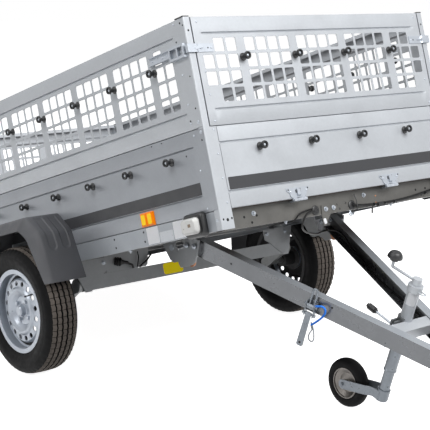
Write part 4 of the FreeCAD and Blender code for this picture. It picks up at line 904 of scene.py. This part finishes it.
def tread_stations():
    # (radius, y, sideways wave, shoulder notch) across the tread, from the outer to the inner shoulder
    stations = list(SHOULDER)
    for middle, width in TREAD_GROOVES:
        crown = TYRE_RADIUS - 0.5 - (middle / 50.0) ** 2 * 2.2
        floor = crown - TREAD_DEPTH
        stations += [(crown, middle - width / 2 - 1.5, 1, 0), (floor, middle - width / 2, 1, 0)]
        stations += [(floor, middle + width / 2, 1, 0), (crown, middle + width / 2 + 1.5, 1, 0)]
    return stations + [(radius, -y, sway, cut) for radius, y, sway, cut in SHOULDER[::-1]]


def on_rib(n, pitch_step, stations):
    # whether the strip between two stations is the dusty top of a tread rib, and not a cross cut
    (radius_a, y_a, _, _), (radius_b, y_b, _, _) = stations[n], stations[(n + 1) % len(stations)]
    across = abs(y_a + y_b) / 2
    # the middle rib and the outer ones are cut half a pitch before the two between them
    cut_step = 0 if across > 25 or across < 8 else 2
    flat = abs(radius_a - radius_b) < 2.2 and min(radius_a, radius_b) > 266.0
    return len(WALL) < n < len(stations) - len(WALL) - 1 and flat and pitch_step != cut_step


def road_tyre(side, word):
    wall = [(radius, y, 0, 0) for radius, y in WALL]
    stations = [(radius, -y, 0, 0) for radius, y in WALL] + tread_stations() + wall[::-1]
    form = Form()
    rings = []
    for n in range(4 * TREAD_PITCHES):
        turn = 2 * math.pi * (n // 4 + CUTS[n % 4]) / TREAD_PITCHES
        notch = SHOULDER_NOTCH if n % 4 < 2 else 0.0
        ring = []
        for radius, y, sway, cut in stations:
            r = radius - notch * cut
            ring.append((r * math.cos(turn), y + sway * WAVE[n % 4], r * math.sin(turn)))
        rings.append(ring)
    form.rings(rings, Matrix.Translation((WHEEL.x, side * abs(WHEEL.y), WHEEL.z)), loop=True)
    # rib tops carry dust; walls and groove floors stay black
    count = len(stations)
    form.slots = [int(on_rib(i % count, i // count % 4, stations)) for i in range(len(form.faces))]
    piece("road_tyre_" + word, form, "wheel_" + word, "rubber tread", "tyre_" + word, 40)


def valve(side, word):
    form = Form()
    along, out, up = VALVE_PLACE
    point = (WHEEL.x + along, side * (abs(WHEEL.y) + out), WHEEL.z + up)
    form.lathe(VALVE, at(point, (-0.3, side, -0.1)), 10)
    piece("valve_" + word, form, "wheel_" + word, "black")


def jockey_tyre():
    profile = [(r, -y) for r, y in JOCKEY_WALL] + [(99.95, 0.0)] + [(r, y) for r, y in JOCKEY_WALL[::-1]]
    form = Form()
    form.lathe(profile, at((JOCKEY_X - JOCKEY_TRAIL, 0, JOCKEY_DROP), (0, 1, 0)), 72, loop=True)
    piece("jockey_wheel_tyre", form, "jockey_wheel", "rubber", "jockey_tyre")


# small fasteners, gathered into one piece for each body; profiles as (share of the radius, height)

RIVET = ((1.0, 0), (1.0, 0.8), (0.75, 2.0), (0.3, 2.7))
WASHER = ((1.5, 0), (1.5, 1.8), (1.35, 2.4))
BOLT_HEAD = ((1.0, 2.2), (1.0, 7.5), (0.8, 9.0))
HOLE_MOUTH = ((1.0, 0), (1.0, 0.35), (0.9, 0.4))
NUT = ((1.0, 0), (1.0, 5.0), (0.85, 6.0))
STUD = ((0.55, 5.8), (0.55, 11.0), (0.45, 12.0))


def fastener(form, profile, radius, place, steps):
    form.lathe([(share * radius, height) for share, height in profile], place, steps)


def rivet(form, point, normal, radius):
    fastener(form, RIVET, radius, at(point, normal), 12)


def bolt(form, point, normal, radius, turn=0.0):
    fastener(form, WASHER, radius, at(point, normal, turn), 20)
    fastener(form, BOLT_HEAD, radius, at(point, normal, turn), 6)


def spot(form, point, normal, radius):
    # the dark mouth of a punched hole: a thin disc in painted shade, not a cut
    fastener(form, HOLE_MOUTH, radius, at(point, normal), 14)


def nut_and_stud(form, point, normal, radius):
    fastener(form, NUT, radius, at(point, normal), 6)
    fastener(form, STUD, radius, at(point, normal), 12)


def cable_tie(form, point, along, radius):
    # a band round a cable with its lock and a cut tail
    place = at(point, along, 180)
    form.lathe([(radius, -2.0), (radius + 1.4, -1.8), (radius + 1.4, 1.8), (radius, 2.0)], place, 16)
    form.block(radius, radius + 6.0, -3.0, 3.0, -2.6, 2.6, place)
    form.rod((radius + 4.0, 0.0, 0.0), (radius + 8.0, 9.0, 1.0), 1.2, place)


# (x, z, radius) on the side wall and the rail near the front end, and (y, z, radius) on the posts
SIDE_HOLES = (
    (-22.0, 758.5, 4.0), (-8.0, 747.5, 3.0), (-60.7, 698.3, 3.5), (-22.3, 446.4, 3.5), (-63.7, 407.7, 3.5),
    (-19.6, 330.1, 3.5), (-124.5, 289.8, 3.5), (-257.0, 364.0, 3.0), (-321.0, 364.0, 3.0),
    (-20.0, 563.0, 3.0), (-675.4, 54.2, 4.5), (-673.2, 19.9, 4.5), (-472.0, 56.1, 4.5), (-472.0, 19.2, 4.5),
)
SIDE_RIVETS = (
    (-59.5, 762.8, 4.2), (-60.4, 576.4, 4.2), (-60.6, 468.0, 4.2), (-65.2, 398.5, 4.2), (-60.3, 353.7, 4.2),
    (-59.9, 225.0, 4.2), (-60.0, 86.0, 4.2), (-21.1, 396.2, 7.0), (-18.3, 358.2, 7.0), (-20.8, 36.4, 7.0),
)
POST_HOLES = ((639.1, 726.7, 4.0), (641.3, 36.1, 4.0), (622.2, 32.9, 6.0), (601.8, 36.5, 4.0))
STRIP_RIVET_Y = 609.0
STRIP_RIVET_Z = (361.2, 272.8, 183.4, 94.1)
LATCH_RIVET_X = (-219.6, -156.2, -131.8)
LATCH_RIVET_Z = 665.0
LATCH_FACE = 2.0
# underneath and at the axle
RAIL_STUD_X = (-602.0, -1700.0)
RAIL_STUD_IN = 16.0
BEAM_STUD = (BEAM_X - 14.0, 297.0, -4.0)
AXLE_FACE_X = AXLE.x + 34.0
AXLE_BOLTS = ((480.0, -20.0), (600.0, -22.0))
TIP_BRACKET_BOLT = (TIP_PIN.x - 125.0, 434.0, -18.0)
# (forward of the beam, y, z)
BEAM_BOLTS = ((0.0, 132.7, 46.0), (0.0, -461.9, 42.7), (3.0, -93.0, 15.0), (3.0, -50.0, 16.0))
BEAM_SPOTS = ((509.3, 34.1), (447.6, 33.5), (475.8, 10.0))
BEAM_SPOT_RADIUS = 5.0
# the wire eye under the beam: (y, z) of its middle, and how far its round reaches
EYE_MIDDLE = (37.0, -20.0)
EYE_REACH = (7.0, 8.0)
EARTH_SCREWS = ((200.5, 35.6, 4.0), (196.6, 8.8, 3.5))
# (radius, height) of a grommet, and (y, forward, z) of the loom's ties
GROMMET = ((16.5, -1.0), (19.0, 0.6), (19.0, 2.6), (16.0, 4.4), (10.0, 5.0), (8.0, 3.2), (1.0, 3.0))
LOOM_TIES = ((174.0, 2.0, 2.0), (239.0, 0.0, 0.5), (295.0, 1.5, 1.0), (492.0, 3.0, 15.0))
LOOM_AHEAD = 6.3
# strap over the loom and tail of the side wire, (forward of the beam, y, z)
LOOM_STRAP = ((8, 73, 56), (15, 72, 30), (15, 71, 0), (8, 72, -8))
WIRE_TAIL = ((8, 168, -4), (8, 160, -16), (8, 155, -32))
CATCH_CAP_PLACE = (BEAM_X + 3, -109, -31)


def both_ends(x):
    # the same place at the front and at the rear end of a side
    return (x, -BOX_LENGTH - x)


def side_fasteners(metal, holes, side):
    # what one side wall, its rail and its two posts hold
    out = (0, side, 0)
    y = side * HALF
    for x0, z, radius in SIDE_HOLES:
        for x in both_ends(x0):
            spot(holes, (x, y, z), out, radius)
    for x0, z, radius in SIDE_RIVETS:
        for x in both_ends(x0):
            rivet(metal, (x, y, z), out, radius)
    for x0 in LATCH_RIVET_X:
        for x in both_ends(x0):
            rivet(metal, (x, y + side * LATCH_FACE, LATCH_RIVET_Z), out, 4.5)
    for _, end, x in ENDS:
        for post_y, z, radius in POST_HOLES:
            spot(holes, (x, side * post_y, z), (end, 0, 0), radius)
        for z in STRIP_RIVET_Z:
            rivet(metal, (x, side * STRIP_RIVET_Y, z), (end, 0, 0), 4.2)


def under_fasteners(metal, side):
    # studs and bolts under the chassis and at the axle
    down = (0, 0, -1)
    for x in RAIL_STUD_X:
        nut_and_stud(metal, (x, side * (HALF - RAIL_STUD_IN), 0.0), down, 8.0)
    x, y, z = BEAM_STUD
    nut_and_stud(metal, (x, side * y, z), down, 7.0)
    for y, z in AXLE_BOLTS:
        bolt(metal, (AXLE_FACE_X, side * y, z), (1, 0, 0), 7.0)
    x, y, z = TIP_BRACKET_BOLT
    bolt(metal, (x, side * y, z), (0, -side, 0), 8.0)


def bed_fasteners():
    metal = Form()
    holes = Form()
    ahead = (1, 0, 0)
    for side, _ in SIDES:
        side_fasteners(metal, holes, side)
        under_fasteners(metal, side)
        for y, z in BEAM_SPOTS:
            spot(holes, (BEAM_X, side * y, z), ahead, BEAM_SPOT_RADIUS)
    for forward, y, z in BEAM_BOLTS:
        bolt(metal, (BEAM_X + forward, y, z), ahead, 6.5, 12)
    eye = [(BEAM_X + 2, EYE_MIDDLE[0], -6), (BEAM_X + 4, EYE_MIDDLE[0], -12)]
    for turn in (n / 3 for n in range(-3, 14)):
        y = EYE_MIDDLE[0] + EYE_REACH[0] * math.cos(turn)
        eye.append((BEAM_X + 4, y, EYE_MIDDLE[1] + EYE_REACH[1] * math.sin(turn)))
    metal.wire(eye, 2.2)
    piece("bed_fasteners", metal, "bed", "zinc")
    piece("bed_punched_holes", holes, "bed", "hole")
    screws = Form()
    for y, z, radius in EARTH_SCREWS:
        rivet(screws, (BEAM_X, y, z), ahead, radius)
    piece("earth_screws", screws, "bed", "copper")


def beam_rubbers():
    # grommets and cable ties of the front beam, and the white cap on the catch plate
    form = Form()
    for y, z in GROMMETS:
        form.lathe(GROMMET, at((BEAM_X, y, z), (1, 0, 0)), 24)
    for y, forward, z in LOOM_TIES:
        cable_tie(form, (BEAM_X + LOOM_AHEAD + forward, y, z), (0, 1, 0), 5.5)
    for points, radius in ((LOOM_STRAP, 2.2), (WIRE_TAIL, 3.5)):
        form.wire([(BEAM_X + forward, y, z) for forward, y, z in points], radius)
    form.block(BEAM_X + 1, BEAM_X + 15, 196.0, 226.0, -10.0, 8.0, edge=3.0)
    piece("beam_rubbers", form, "bed", "black")
    form = Form()
    form.slab(rounded(15, 22, 5), 3.0, at(CATCH_CAP_PLACE, (1, 0, 0), 12), 1.2)
    piece("catch_cap", form, "bed", "label")


# the plate beside the axle that carries the leads, and the bellows and leads in front of it

LEAD_PLATE = ((-470, 12), (-470, -68), (-262, -68), (-250, -60), (-232, 12))
BELLOWS = (
    (14, -34), (20, -30), (16, -24), (21, -18), (16, -12), (20, -6), (11, 2), (7, 16), (6, 30),
)
# (radius, points) with each point as (forward of the member, y, z)
LEADS = (
    (5.0, ((6, -366, -40), (8, -345, -52), (4, -338, -66))),
    (4.5, ((8, -306, -66), (8, -262, -44), (6, -232, -20))),
    (2.5, ((8, -318, -64), (4, -300, -24), (0, -298, 2))),
)


def lead_plate():
    form = Form()
    form.slab(LEAD_PLATE, 3.0, at((AXLE.x + 30.5, 0, 0), (1, 0, 0)), 0.6)
    piece("lead_plate", form, "bed", "bracket")


def cross_member_lead():
    form = Form()
    x = AXLE.x + 40.0
    form.lathe(BELLOWS, at((x, -392.0, -32.0), (0.35, 0.9, -0.25)))
    for radius, points in LEADS:
        form.wire([(x + forward, y, z) for forward, y, z in points], radius)
    piece("cross_member_lead", form, "bed", "pvc")


# what a gate holds, for its +Y and -Y half: (forward, y, z, radius)

GATE_RIVETS = (
    (0.0, 595.5, 757.6, 4.2), (0.0, 595.5, 573.8, 4.2), (0.0, 595.5, 489.3, 4.2), (0.0, 595.5, 390.8, 4.2),
    (8.5, 598.0, 660.0, 3.5), (3.0, 551.0, 660.0, 4.0),
)
KEEPER_HOLE = (3.0, 566.0, 660.0)
KEEPER_PAD = (8.5, 622.0, 660.0)
HINGE_FACE = 3.0
# from the middle of a hinge leaf: rivets and holes, and (y0, y1, z0, z1) of its slots
LEAF_RIVETS = (-38.6, 44.7)
LEAF_RIVET_Z = 98.0
LEAF_HOLES = (-50.0, 51.0)
LEAF_HOLE_Z = 106.0
LEAF_SLOTS = ((8.4, 13.5, 84.0, 108.0), (-14.0, -9.0, 92.0, 104.0))


def gate_fasteners(end, direction, face_x):
    metal = Form()
    holes = Form()
    out = (1, 0, 0)
    for side, _ in SIDES:
        for x, y, z, radius in GATE_RIVETS:
            rivet(metal, (x, side * y, z), out, radius)
        x, y, z = KEEPER_HOLE
        spot(holes, (x, side * y, z), out, 3.0)
        x, y, z = KEEPER_PAD
        metal.slab(rounded(20, 12, 5.5), 1.4, at((x, side * y, z), out), 0.7)
        middle = side * HINGE_Y
        for across in LEAF_RIVETS:
            rivet(metal, (HINGE_FACE, middle + across, LEAF_RIVET_Z), out, 4.8)
        for across in LEAF_HOLES:
            spot(holes, (HINGE_FACE, middle + across, LEAF_HOLE_Z), out, 3.2)
        for y0, y1, z0, z1 in LEAF_SLOTS:
            holes.block(HINGE_FACE, HINGE_FACE + 0.5, middle + y0, middle + y1, z0, z1)
    place = Matrix.Translation((face_x, 0, 0)) @ Matrix.Scale(direction, 4, (1, 0, 0))
    for name, form, kind, slot in (
        ("_gate_fasteners", metal, "zinc", "bright_zinc"),
        ("_gate_punched_holes", holes, "hole", "dark_steel"),
    ):
        placed = Form()
        placed.add(form.verts, form.faces, place)
        piece(end + name, placed, "gate_" + end, kind)


# (x, z) on the drawbar's hinge plates and arms, in the bar frame

PLATE_BOLTS = ((-78.0, 47.0), (-32.0, 65.0))
COUPLING_BOLT_X = (1058.0, 1092.0)
COUPLING_BOLT_Z = 52.0
ARM_HOLES = ((557.0, 71.0), (120.0, 54.0))
CLAMP_STUD_X = JOCKEY_X + 30.0
CLAMP_STUD_IN = 22.0
CLAMP_STUD_Z = ARM_TOP - 70
# (x, in from the arm's outer face, z) of the ties in the left arm
ARM_TIES = ((296.0, 24.0, 28.5), (498.0, 20.0, 30.0), (650.0, 12.0, 39.0))
ARM_ENTRY = (-12.0, 341.0, 40.0)


def bar_fasteners():
    metal = Form()
    holes = Form()
    for side, _ in SIDES:
        for x, z in PLATE_BOLTS:
            bolt(metal, (x, side * (PLATE_Y + 6.0), z), (0, side, 0), 8.0, 12)
            nut_and_stud(metal, (x, side * (PLATE_Y - 10.0), z), (0, -side, 0), 8.0)
        for x in COUPLING_BOLT_X:
            bolt(metal, (x, side * arm_half(x), COUPLING_BOLT_Z), (0.3, side, 0), 8.0)
        for x, z in ARM_HOLES:
            spot(holes, (x, side * arm_half(x), z), (0.315, side, 0), 4.0)
    y = CLAMP_STUD_IN - arm_half(CLAMP_STUD_X)
    nut_and_stud(metal, (CLAMP_STUD_X, y, CLAMP_STUD_Z), (0, 0, -1), 8.0)
    piece("drawbar_fasteners", metal, "drawbar", "zinc")
    piece("drawbar_holes", holes, "drawbar", "hole")
    form = Form()
    cable_tie(form, ARM_ENTRY, (1, -0.4, 0.3), 4.0)
    for x, off, z in ARM_TIES:
        cable_tie(form, (x, arm_half(x) - off, z), (1, -0.32, 0), 4.0)
    piece("drawbar_cable_ties", form, "drawbar", "black")


# tip latch: its details, the blue lanyard and the spring clip

LANYARD = (
    (503.0, -250.0, 55.0), (515.0, -244.0, 60.0), (530.0, -238.0, 67.0), (545.0, -236.0, 66.0),
    (553.0, -236.0, 50.0), (546.0, -240.0, 28.0), (532.0, -246.0, 4.0), (512.0, -250.0, -22.0),
)
SPRING_CLIP = (
    (508.0, -250.0, -10.0), (512.0, -250.0, -26.0), (522.0, -250.0, -36.0), (514.0, -250.0, -58.0),
    (513.0, -250.0, -72.0), (519.0, -250.0, -83.0), (530.0, -250.0, -85.0), (540.0, -250.0, -78.0),
    (542.0, -250.0, -66.0), (533.0, -250.0, -42.0), (519.0, -250.0, -21.0),
)
PIN_HEAD = ((6.5, 0), (6.5, 2.5), (5.0, 4.0))
LATCH_PIN_Z = (14.0, 52.0)
LATCH_ROLLER = ((11.0, -14.0), (11.0, 14.0), (9.5, 15.5))
LATCH_BUTTON = ((5.0, 0), (5.0, 1.0), (3.0, 2.4))
LATCH_HOLE = ((5.0, 0), (5.0, 0.35))


def latch_details():
    slope = math.atan(ARM_REAR_HALF / (ARM_APEX_X - ARM_REAR_X))
    here = Matrix.Translation((TIP_LATCH_X, -arm_half(TIP_LATCH_X), 0)) @ Matrix.Rotation(slope, 4, "Z")
    metal = Form()
    holes = Form()
    out = (0, -1, 0)
    for z in LATCH_PIN_Z:
        for end in (-1, 1):
            metal.lathe(PIN_HEAD, here @ at((end * 24.0, -18.0, z), (end, 0, 0)), 14)
    metal.lathe(LATCH_BUTTON, here @ at((0.0, -24.0, -30.0), out), 14)
    metal.lathe(LATCH_ROLLER, here @ at((0.0, -16.0, 45.0), (1, 0, 0)), 18)
    metal.wire(SPRING_CLIP, 2.4)
    holes.lathe(LATCH_HOLE, here @ at((-5.0, -24.0, -112.0), out), 14)
    piece("tip_latch_pins", metal, "drawbar", "blue_zinc")
    piece("tip_latch_hole", holes, "drawbar", "hole")
    cable("tip_latch_lanyard", LANYARD, 4.2, "drawbar", "cord")


# the stand's tube: (proud of the tube, height) of a thin greyer skin over its lower part, painted shade
# below the drawbar with a bead round its foot, and its label

SHADED_SKIN = (
    (0.3, -145.0), (1.7, -143.5), (1.7, -139.0), (0.3, -137.0), (0.3, 16.0), (0.05, 17.0), (0.05, -145.0),
)
LABEL_Z = (154.0, 204.0)
LABEL_PROUD = (0.1, 0.5)
LABEL_TURNS = (-100.0, -10.0)


def stand_shaded_skin():
    # a greyer skin just proud of the tube's lower part: painted shade
    form = Form()
    profile = [(JOCKEY_RADIUS + proud, z) for proud, z in SHADED_SKIN]
    form.lathe(profile, Matrix.Translation((JOCKEY_X, 0, 0)), 32, loop=True)
    piece("stand_lower_shaded_skin", form, "drawbar", "blue_zinc")


def stand_label():
    # a bare white label bent round the tube
    low, high = (JOCKEY_RADIUS + proud for proud in LABEL_PROUD)
    z0, z1 = LABEL_Z
    start, end = (math.radians(turn) for turn in LABEL_TURNS)
    rings = []
    for turn in (start + (end - start) * n / 12 for n in range(13)):
        ring = []
        for radius, z in ((low, z0), (low, z1), (high, z1), (high, z0)):
            ring.append((JOCKEY_X + radius * math.cos(turn), radius * math.sin(turn), z))
        rings.append(ring)
    form = Form()
    form.rings(rings)
    piece("stand_label", form, "drawbar", "label")


# lamps and reflectors: mouldings as (width, height, corner radius, depth)

LENS_PLACE = (-137.0, 35.0)
LENS_FOOT = 22.0
LENS = (
    (94, 60, 17, 0), (94, 60, 17, 10), (92, 58, 16, 14), (84, 50, 14, 20), (78, 44, 12, 23.5),
    (70, 36, 9, 24),
)
LENS_COLLAR = ((102, 68, 20, 0), (104, 70, 20, 5), (96, 62, 18, 6))
HOLDER_PLACE = (-134.5, 35.5)
HOLDER = ((117, 91, 16, 0), (117, 91, 16, 8), (112, 86, 16, 18), (106, 78, 18, 22))
# (x, z, width, height, corner radius) just under the lens's face
CHIPS = ((-127.0, 38.0, 15, 12, 1.5), (-161.0, 30.0, 3, 3, 1.2))
CHIP_DEPTH = 46.0
PRISM_X = (-446.5, -405.5)
PRISM_Z = 101.0
PRISM_DEPTH = 9.0
REAR_LAMP_Y = (365.0, 587.0)
REAR_LAMP_Z = (-62.0, 28.0)
# (piece, material, slot, shares of the lamp's width) of the rear lamps' fields
REAR_FIELDS = (
    ("rear_indicator_faces", "orange", "lamp_orange", 0.06, 0.34),
    ("rear_reflector_faces", "red", "lamp_red", 0.36, 0.72),
    ("rear_reversing_lens_faces", "lens", "lamp_white", 0.74, 0.94),
)


def outward(side, x, depth, z):
    # a place on a side wall, looking away from the box
    return at((x, side * (HALF + depth), z), (0, side, 0))


def position_lamps():
    lens = Form()
    housing = Form()
    chips = Form()
    prisms = Form()
    for side, _ in SIDES:
        x, z = LENS_PLACE
        lens.moulding(LENS, outward(side, x, LENS_FOOT, z))
        housing.moulding(LENS_COLLAR, outward(side, x, LENS_FOOT - 1, z))
        x, z = HOLDER_PLACE
        housing.moulding(HOLDER, outward(side, x, 0, z))
        for x, z, width, height, radius in CHIPS:
            chips.slab(rounded(width, height, radius), 0.8, outward(side, x, CHIP_DEPTH, z))
        for x in PRISM_X:
            prisms.slab(rounded(24, 40, 6), 0.8, outward(side, x, PRISM_DEPTH, PRISM_Z), 0.4)
    piece("lamp_lenses", lens, "bed", "lens", "position_lamps", 40)
    piece("lamp_housings", housing, "bed", "black", "lamp_holders", 40)
    piece("lamp_chips", chips, "bed", "chip")
    piece("reflector_prisms", prisms, "bed", "amber")


def rear_lamps():
    inner, outer = REAR_LAMP_Y
    z0, z1 = REAR_LAMP_Z
    for name, kind, slot, share0, share1 in REAR_FIELDS:
        width = (outer - inner) * (share1 - share0)
        middle = outer - (outer - inner) * (share0 + share1) / 2
        form = Form()
        for side, _ in SIDES:
            place = at((-BOX_LENGTH + 2.0, side * middle, (z0 + z1) / 2), (-1, 0, 0))
            form.slab(rounded(width, z1 - z0 - 24, 6), 1.6, place, 0.8)
        piece(name, form, "bed", kind)


# stripes and bare labels

SIDE_STRIPE_LENGTH = BOX_LENGTH - 150.0
GATE_STRIPE_LENGTH = 1170.0
FILM = 0.5
# (x0, x1, z0, z1) on the right rail
RAIL_LABELS = ((-452, -376, 4, 68), (-281, -210, 4, 68))
DATA_PLATE = ((-371, -287, 3, 42),)
LABEL_FILM = 0.4
# (width, height, corner radius) and place of the label on the axle tube
AXLE_LABEL = (110, 50, 12)
AXLE_LABEL_PLACE = (AXLE.x + 30, -112, AXLE.z + 2)


def stripes():
    height = STRIPE_Z[1] - STRIPE_Z[0]
    middle = sum(STRIPE_Z) / 2
    faces = []
    for side, word in SIDES:
        place = outward(side, -BOX_LENGTH / 2, 0, middle)
        faces.append(("side_stripe_" + word, "bed", SIDE_STRIPE_LENGTH, place))
    for word, out, x in ENDS:
        place = at((x, 0, middle), (out, 0, 0))
        faces.append((word + "_stripe", "gate_" + word, GATE_STRIPE_LENGTH, place))
    for name, body, length, place in faces:
        form = Form()
        form.slab(rounded(length, height, 3), FILM, place)
        piece(name, form, body, "stripe")


def labels():
    for name, kind, spans in (
        ("rail_labels", "label", RAIL_LABELS), ("rail_data_plate", "plate_film", DATA_PLATE),
    ):
        form = Form()
        for x0, x1, z0, z1 in spans:
            place = at(((x0 + x1) / 2, -HALF, (z0 + z1) / 2), (0, -1, 0))
            form.slab(rounded(x1 - x0, z1 - z0, 4), LABEL_FILM, place)
        piece(name, form, "bed", kind)
    form = Form()
    form.slab(rounded(*AXLE_LABEL), LABEL_FILM, at(AXLE_LABEL_PLACE, (1, 0, 0)))
    piece("axle_label", form, "bed", "yellow")
    stand_label()


# cables

BEAM_CABLE = (
    (-10.0, 56.0, 14.0), (4.0, 63.0, 12.0), (6.0, 82.0, 8.0), (0.0, 120.0, 5.0), (0.0, 170.0, 2.0),
    (0.0, 250.0, 0.0), (0.0, 390.0, 5.0), (0.0, 540.0, 22.0), (0.0, 618.0, 35.0),
)
SIDE_WIRE = (
    (-54.0, -146.0, 22.0), (-34.0, -160.0, 24.0), (-33.0, -186.0, 23.0), (-33.5, -218.0, 18.0),
    (-33.0, -244.0, 10.0), (-33.0, -260.0, -3.0), (-42.0, -272.0, -11.0), (-72.0, -280.0, -11.0),
    (-96.0, -286.0, -4.0), (-98.0, -310.0, 12.0), (-96.0, -460.0, 24.0), (-96.0, -610.0, 30.0),
)
TIP_CABLE = (
    (-56.0, -128.0, 12.0), (-25.0, -174.0, 15.0), (-20.0, -210.0, 11.0), (-26.0, -232.0, -14.0),
    (-52.0, -222.0, -40.0), (-98.0, -170.0, -54.0), (-162.0, -90.0, -62.5), (-240.0, 6.0, -68.0),
    (-312.0, 97.0, -70.3), (-383.5, 181.5, -70.0), (-434.7, 236.4, -68.6), (-473.5, 279.5, -66.8),
    (-494.1, 304.0, -65.0), (-496.2, 318.8, -63.8), (-490.1, 332.4, -62.6), (-477.8, 340.7, -62.1),
    (-470.3, 341.0, -63.2),
)
ARM_CABLE = (
    (-11.2, 50.0, 40.0), (17.0, 40.0, 54.0), (57.0, 30.0, 56.5), (84.0, 25.0, 51.0), (144.0, 18.0, 32.0),
    (211.0, 19.0, 30.0), (296.0, 24.0, 28.5), (353.0, 27.0, 28.0), (408.0, 28.0, 28.0), (456.0, 25.0, 28.5),
    (498.0, 20.0, 30.0), (566.0, 14.0, 35.0), (650.0, 12.0, 39.0), (715.0, 12.0, 41.0), (815.0, 15.0, 34.0),
)
PLUG_CABLE = ((862.0, 62.0, 52.0), (866.0, 62.0, 108.0), (876.0, 62.0, 117.0), (915.0, 62.0, 117.0))


def slack_cable():
    # the loop that hangs at the tip axis, between the bed and the drawbar
    radius = 4.0
    curve = cable_curve("slack_route", TIP_CABLE, radius, BED)
    tube = mesh_of(curve)
    curve.data.bevel_depth = 0
    route = [v.co.copy() for v in mesh_of(curve).vertices]
    bpy.data.objects.remove(curve)
    tube.materials.append(MATERIALS["pvc"])
    obj = bpy.data.objects.new("slack_cable", tube)
    bpy.context.scene.collection.objects.link(obj)
    for face in tube.polygons:
        face.use_smooth = True
    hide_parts("tip_cable")
    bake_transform(obj)


def cables():
    loom = [(BEAM_X + LOOM_AHEAD + forward, y, z) for forward, y, z in BEAM_CABLE]
    inside = [(x, arm_half(x) - off, z) for x, off, z in ARM_CABLE] + list(PLUG_CABLE)
    cable("beam_loom", loom, 5.5, "bed", "pvc", "beam_cable")
    cable("side_wire", SIDE_WIRE, 3.0, "bed", "pvc", "beam_cable")
    cable("drawbar_cable", inside, 4.0, "drawbar", "pvc", "arm_cable")
    slack_cable()


# stage, light and camera

WORLD_LIGHT = 0.1
FLOOR_GLOW = 0.95
FLOOR_BOUNCE = 0.3
FLOOR_SHOWN = 0.9
FLOOR_REACH = 30.0
# name: (place, aim, size, power), in metres and watts
SOFTBOXES = {
    "front_softbox": ((5.2, 0.8, 5.2), (0.0, 0.0, 0.9), (4.0, 3.0), 375),
    "side_softbox": ((0.0, -4.4, 4.6), (-0.3, 0.0, 1.3), (5.0, 2.0), 168),
    "rear_softbox": ((-6.5, 3.0, 4.5), (-0.6, 0.0, 0.8), (5.0, 3.0), 120),
    "top_softbox": ((0.0, 0.0, 6.5), (0.0, 0.0, 0.0), (6.0, 4.0), 120),
}


def seen_directly(tree, otherwise, seen):
    # one value for what the camera, a reflection or a clear part shows, and another for the light
    rays = add(tree, "ShaderNodeLightPath").outputs
    most = rays["Is Camera Ray"]
    for ray in ("Is Glossy Ray", "Is Transmission Ray"):
        most = add(tree, "ShaderNodeMath", {"operation": "MAXIMUM"}, {0: most, 1: rays[ray]}).outputs[0]
    spans = {"To Min": otherwise, "To Max": seen}
    return add(tree, "ShaderNodeMapRange", spans, {"Value": most}).outputs["Result"]


def backdrop():
    # a pale floor, and a white surround for the camera and for reflections
    floor = bpy.data.meshes.new("floor_plane")
    corners = [(x * FLOOR_REACH, y * FLOOR_REACH, 0) for x, y in ((-1, -1), (1, -1), (1, 1), (-1, 1))]
    floor.from_pydata(corners, [], [(0, 1, 2, 3)])
    obj = bpy.data.objects.new("studio_floor", floor)
    bpy.context.scene.collection.objects.link(obj)
    material = bpy.data.materials.new("studio_floor_paint")
    material.use_nodes = True
    tree = material.node_tree
    shader = tree.nodes["Principled BSDF"].inputs
    level = seen_directly(tree, FLOOR_BOUNCE, FLOOR_SHOWN)
    tone = add(tree, "ShaderNodeCombineColor", links={name: level for name in ("Red", "Green", "Blue")})
    tree.links.new(tone.outputs["Color"], shader["Base Color"])
    tree.links.new(seen_directly(tree, 0.0, FLOOR_GLOW), shader["Emission Strength"])
    shader["Roughness"].default_value = 0.9
    shader["Specular IOR Level"].default_value = 0.0
    shader["Emission Color"].default_value = (1, 1, 1, 1)
    floor.materials.append(material)
    world = bpy.data.worlds.new("studio")
    bpy.context.scene.world = world
    world.use_nodes = True
    back = world.node_tree.nodes["Background"].inputs
    back["Color"].default_value = (1, 1, 1, 1)
    world.node_tree.links.new(seen_directly(world.node_tree, WORLD_LIGHT, 1.0), back["Strength"])


def softbox(name, place, aim, size, power):
    data = bpy.data.lights.new(name, "AREA")
    data.energy = power
    data.shape = "RECTANGLE"
    data.size, data.size_y = size
    obj = bpy.data.objects.new(name, data)
    bpy.context.scene.collection.objects.link(obj)
    obj.location = place
    obj.rotation_euler = (Vector(aim) - Vector(place)).to_track_quat("-Z", "Y").to_euler()


def studio():
    for name, values in SOFTBOXES.items():
        softbox(name, *values)
    data = bpy.data.cameras.new("camera")
    data.lens = CAMERA_LENS
    data.sensor_width = 36.0
    data.clip_start = 0.05
    data.clip_end = 200.0
    camera = bpy.data.objects.new("camera", data)
    bpy.context.scene.collection.objects.link(camera)
    camera.location = BED @ CAMERA_BED
    camera.rotation_euler = [math.radians(v) for v in CAMERA_TURN]
    bpy.context.scene.camera = camera
    bpy.context.scene.view_settings.view_transform = "Standard"


dress_nodes()
two_tone_nodes()
ease_edges()
box_sheets()
tie_knobs()
for build in (mudguard, road_tyre, valve):
    for side, word in SIDES:
        build(side, word)
jockey_tyre()
bed_fasteners()
for end, direction, face_x in ENDS:
    gate_fasteners(end, direction, face_x)
bar_fasteners()
beam_rubbers()
lead_plate()
cross_member_lead()
latch_details()
stand_shaded_skin()
position_lamps()
rear_lamps()
stripes()
labels()
cables()
backdrop()
studio()
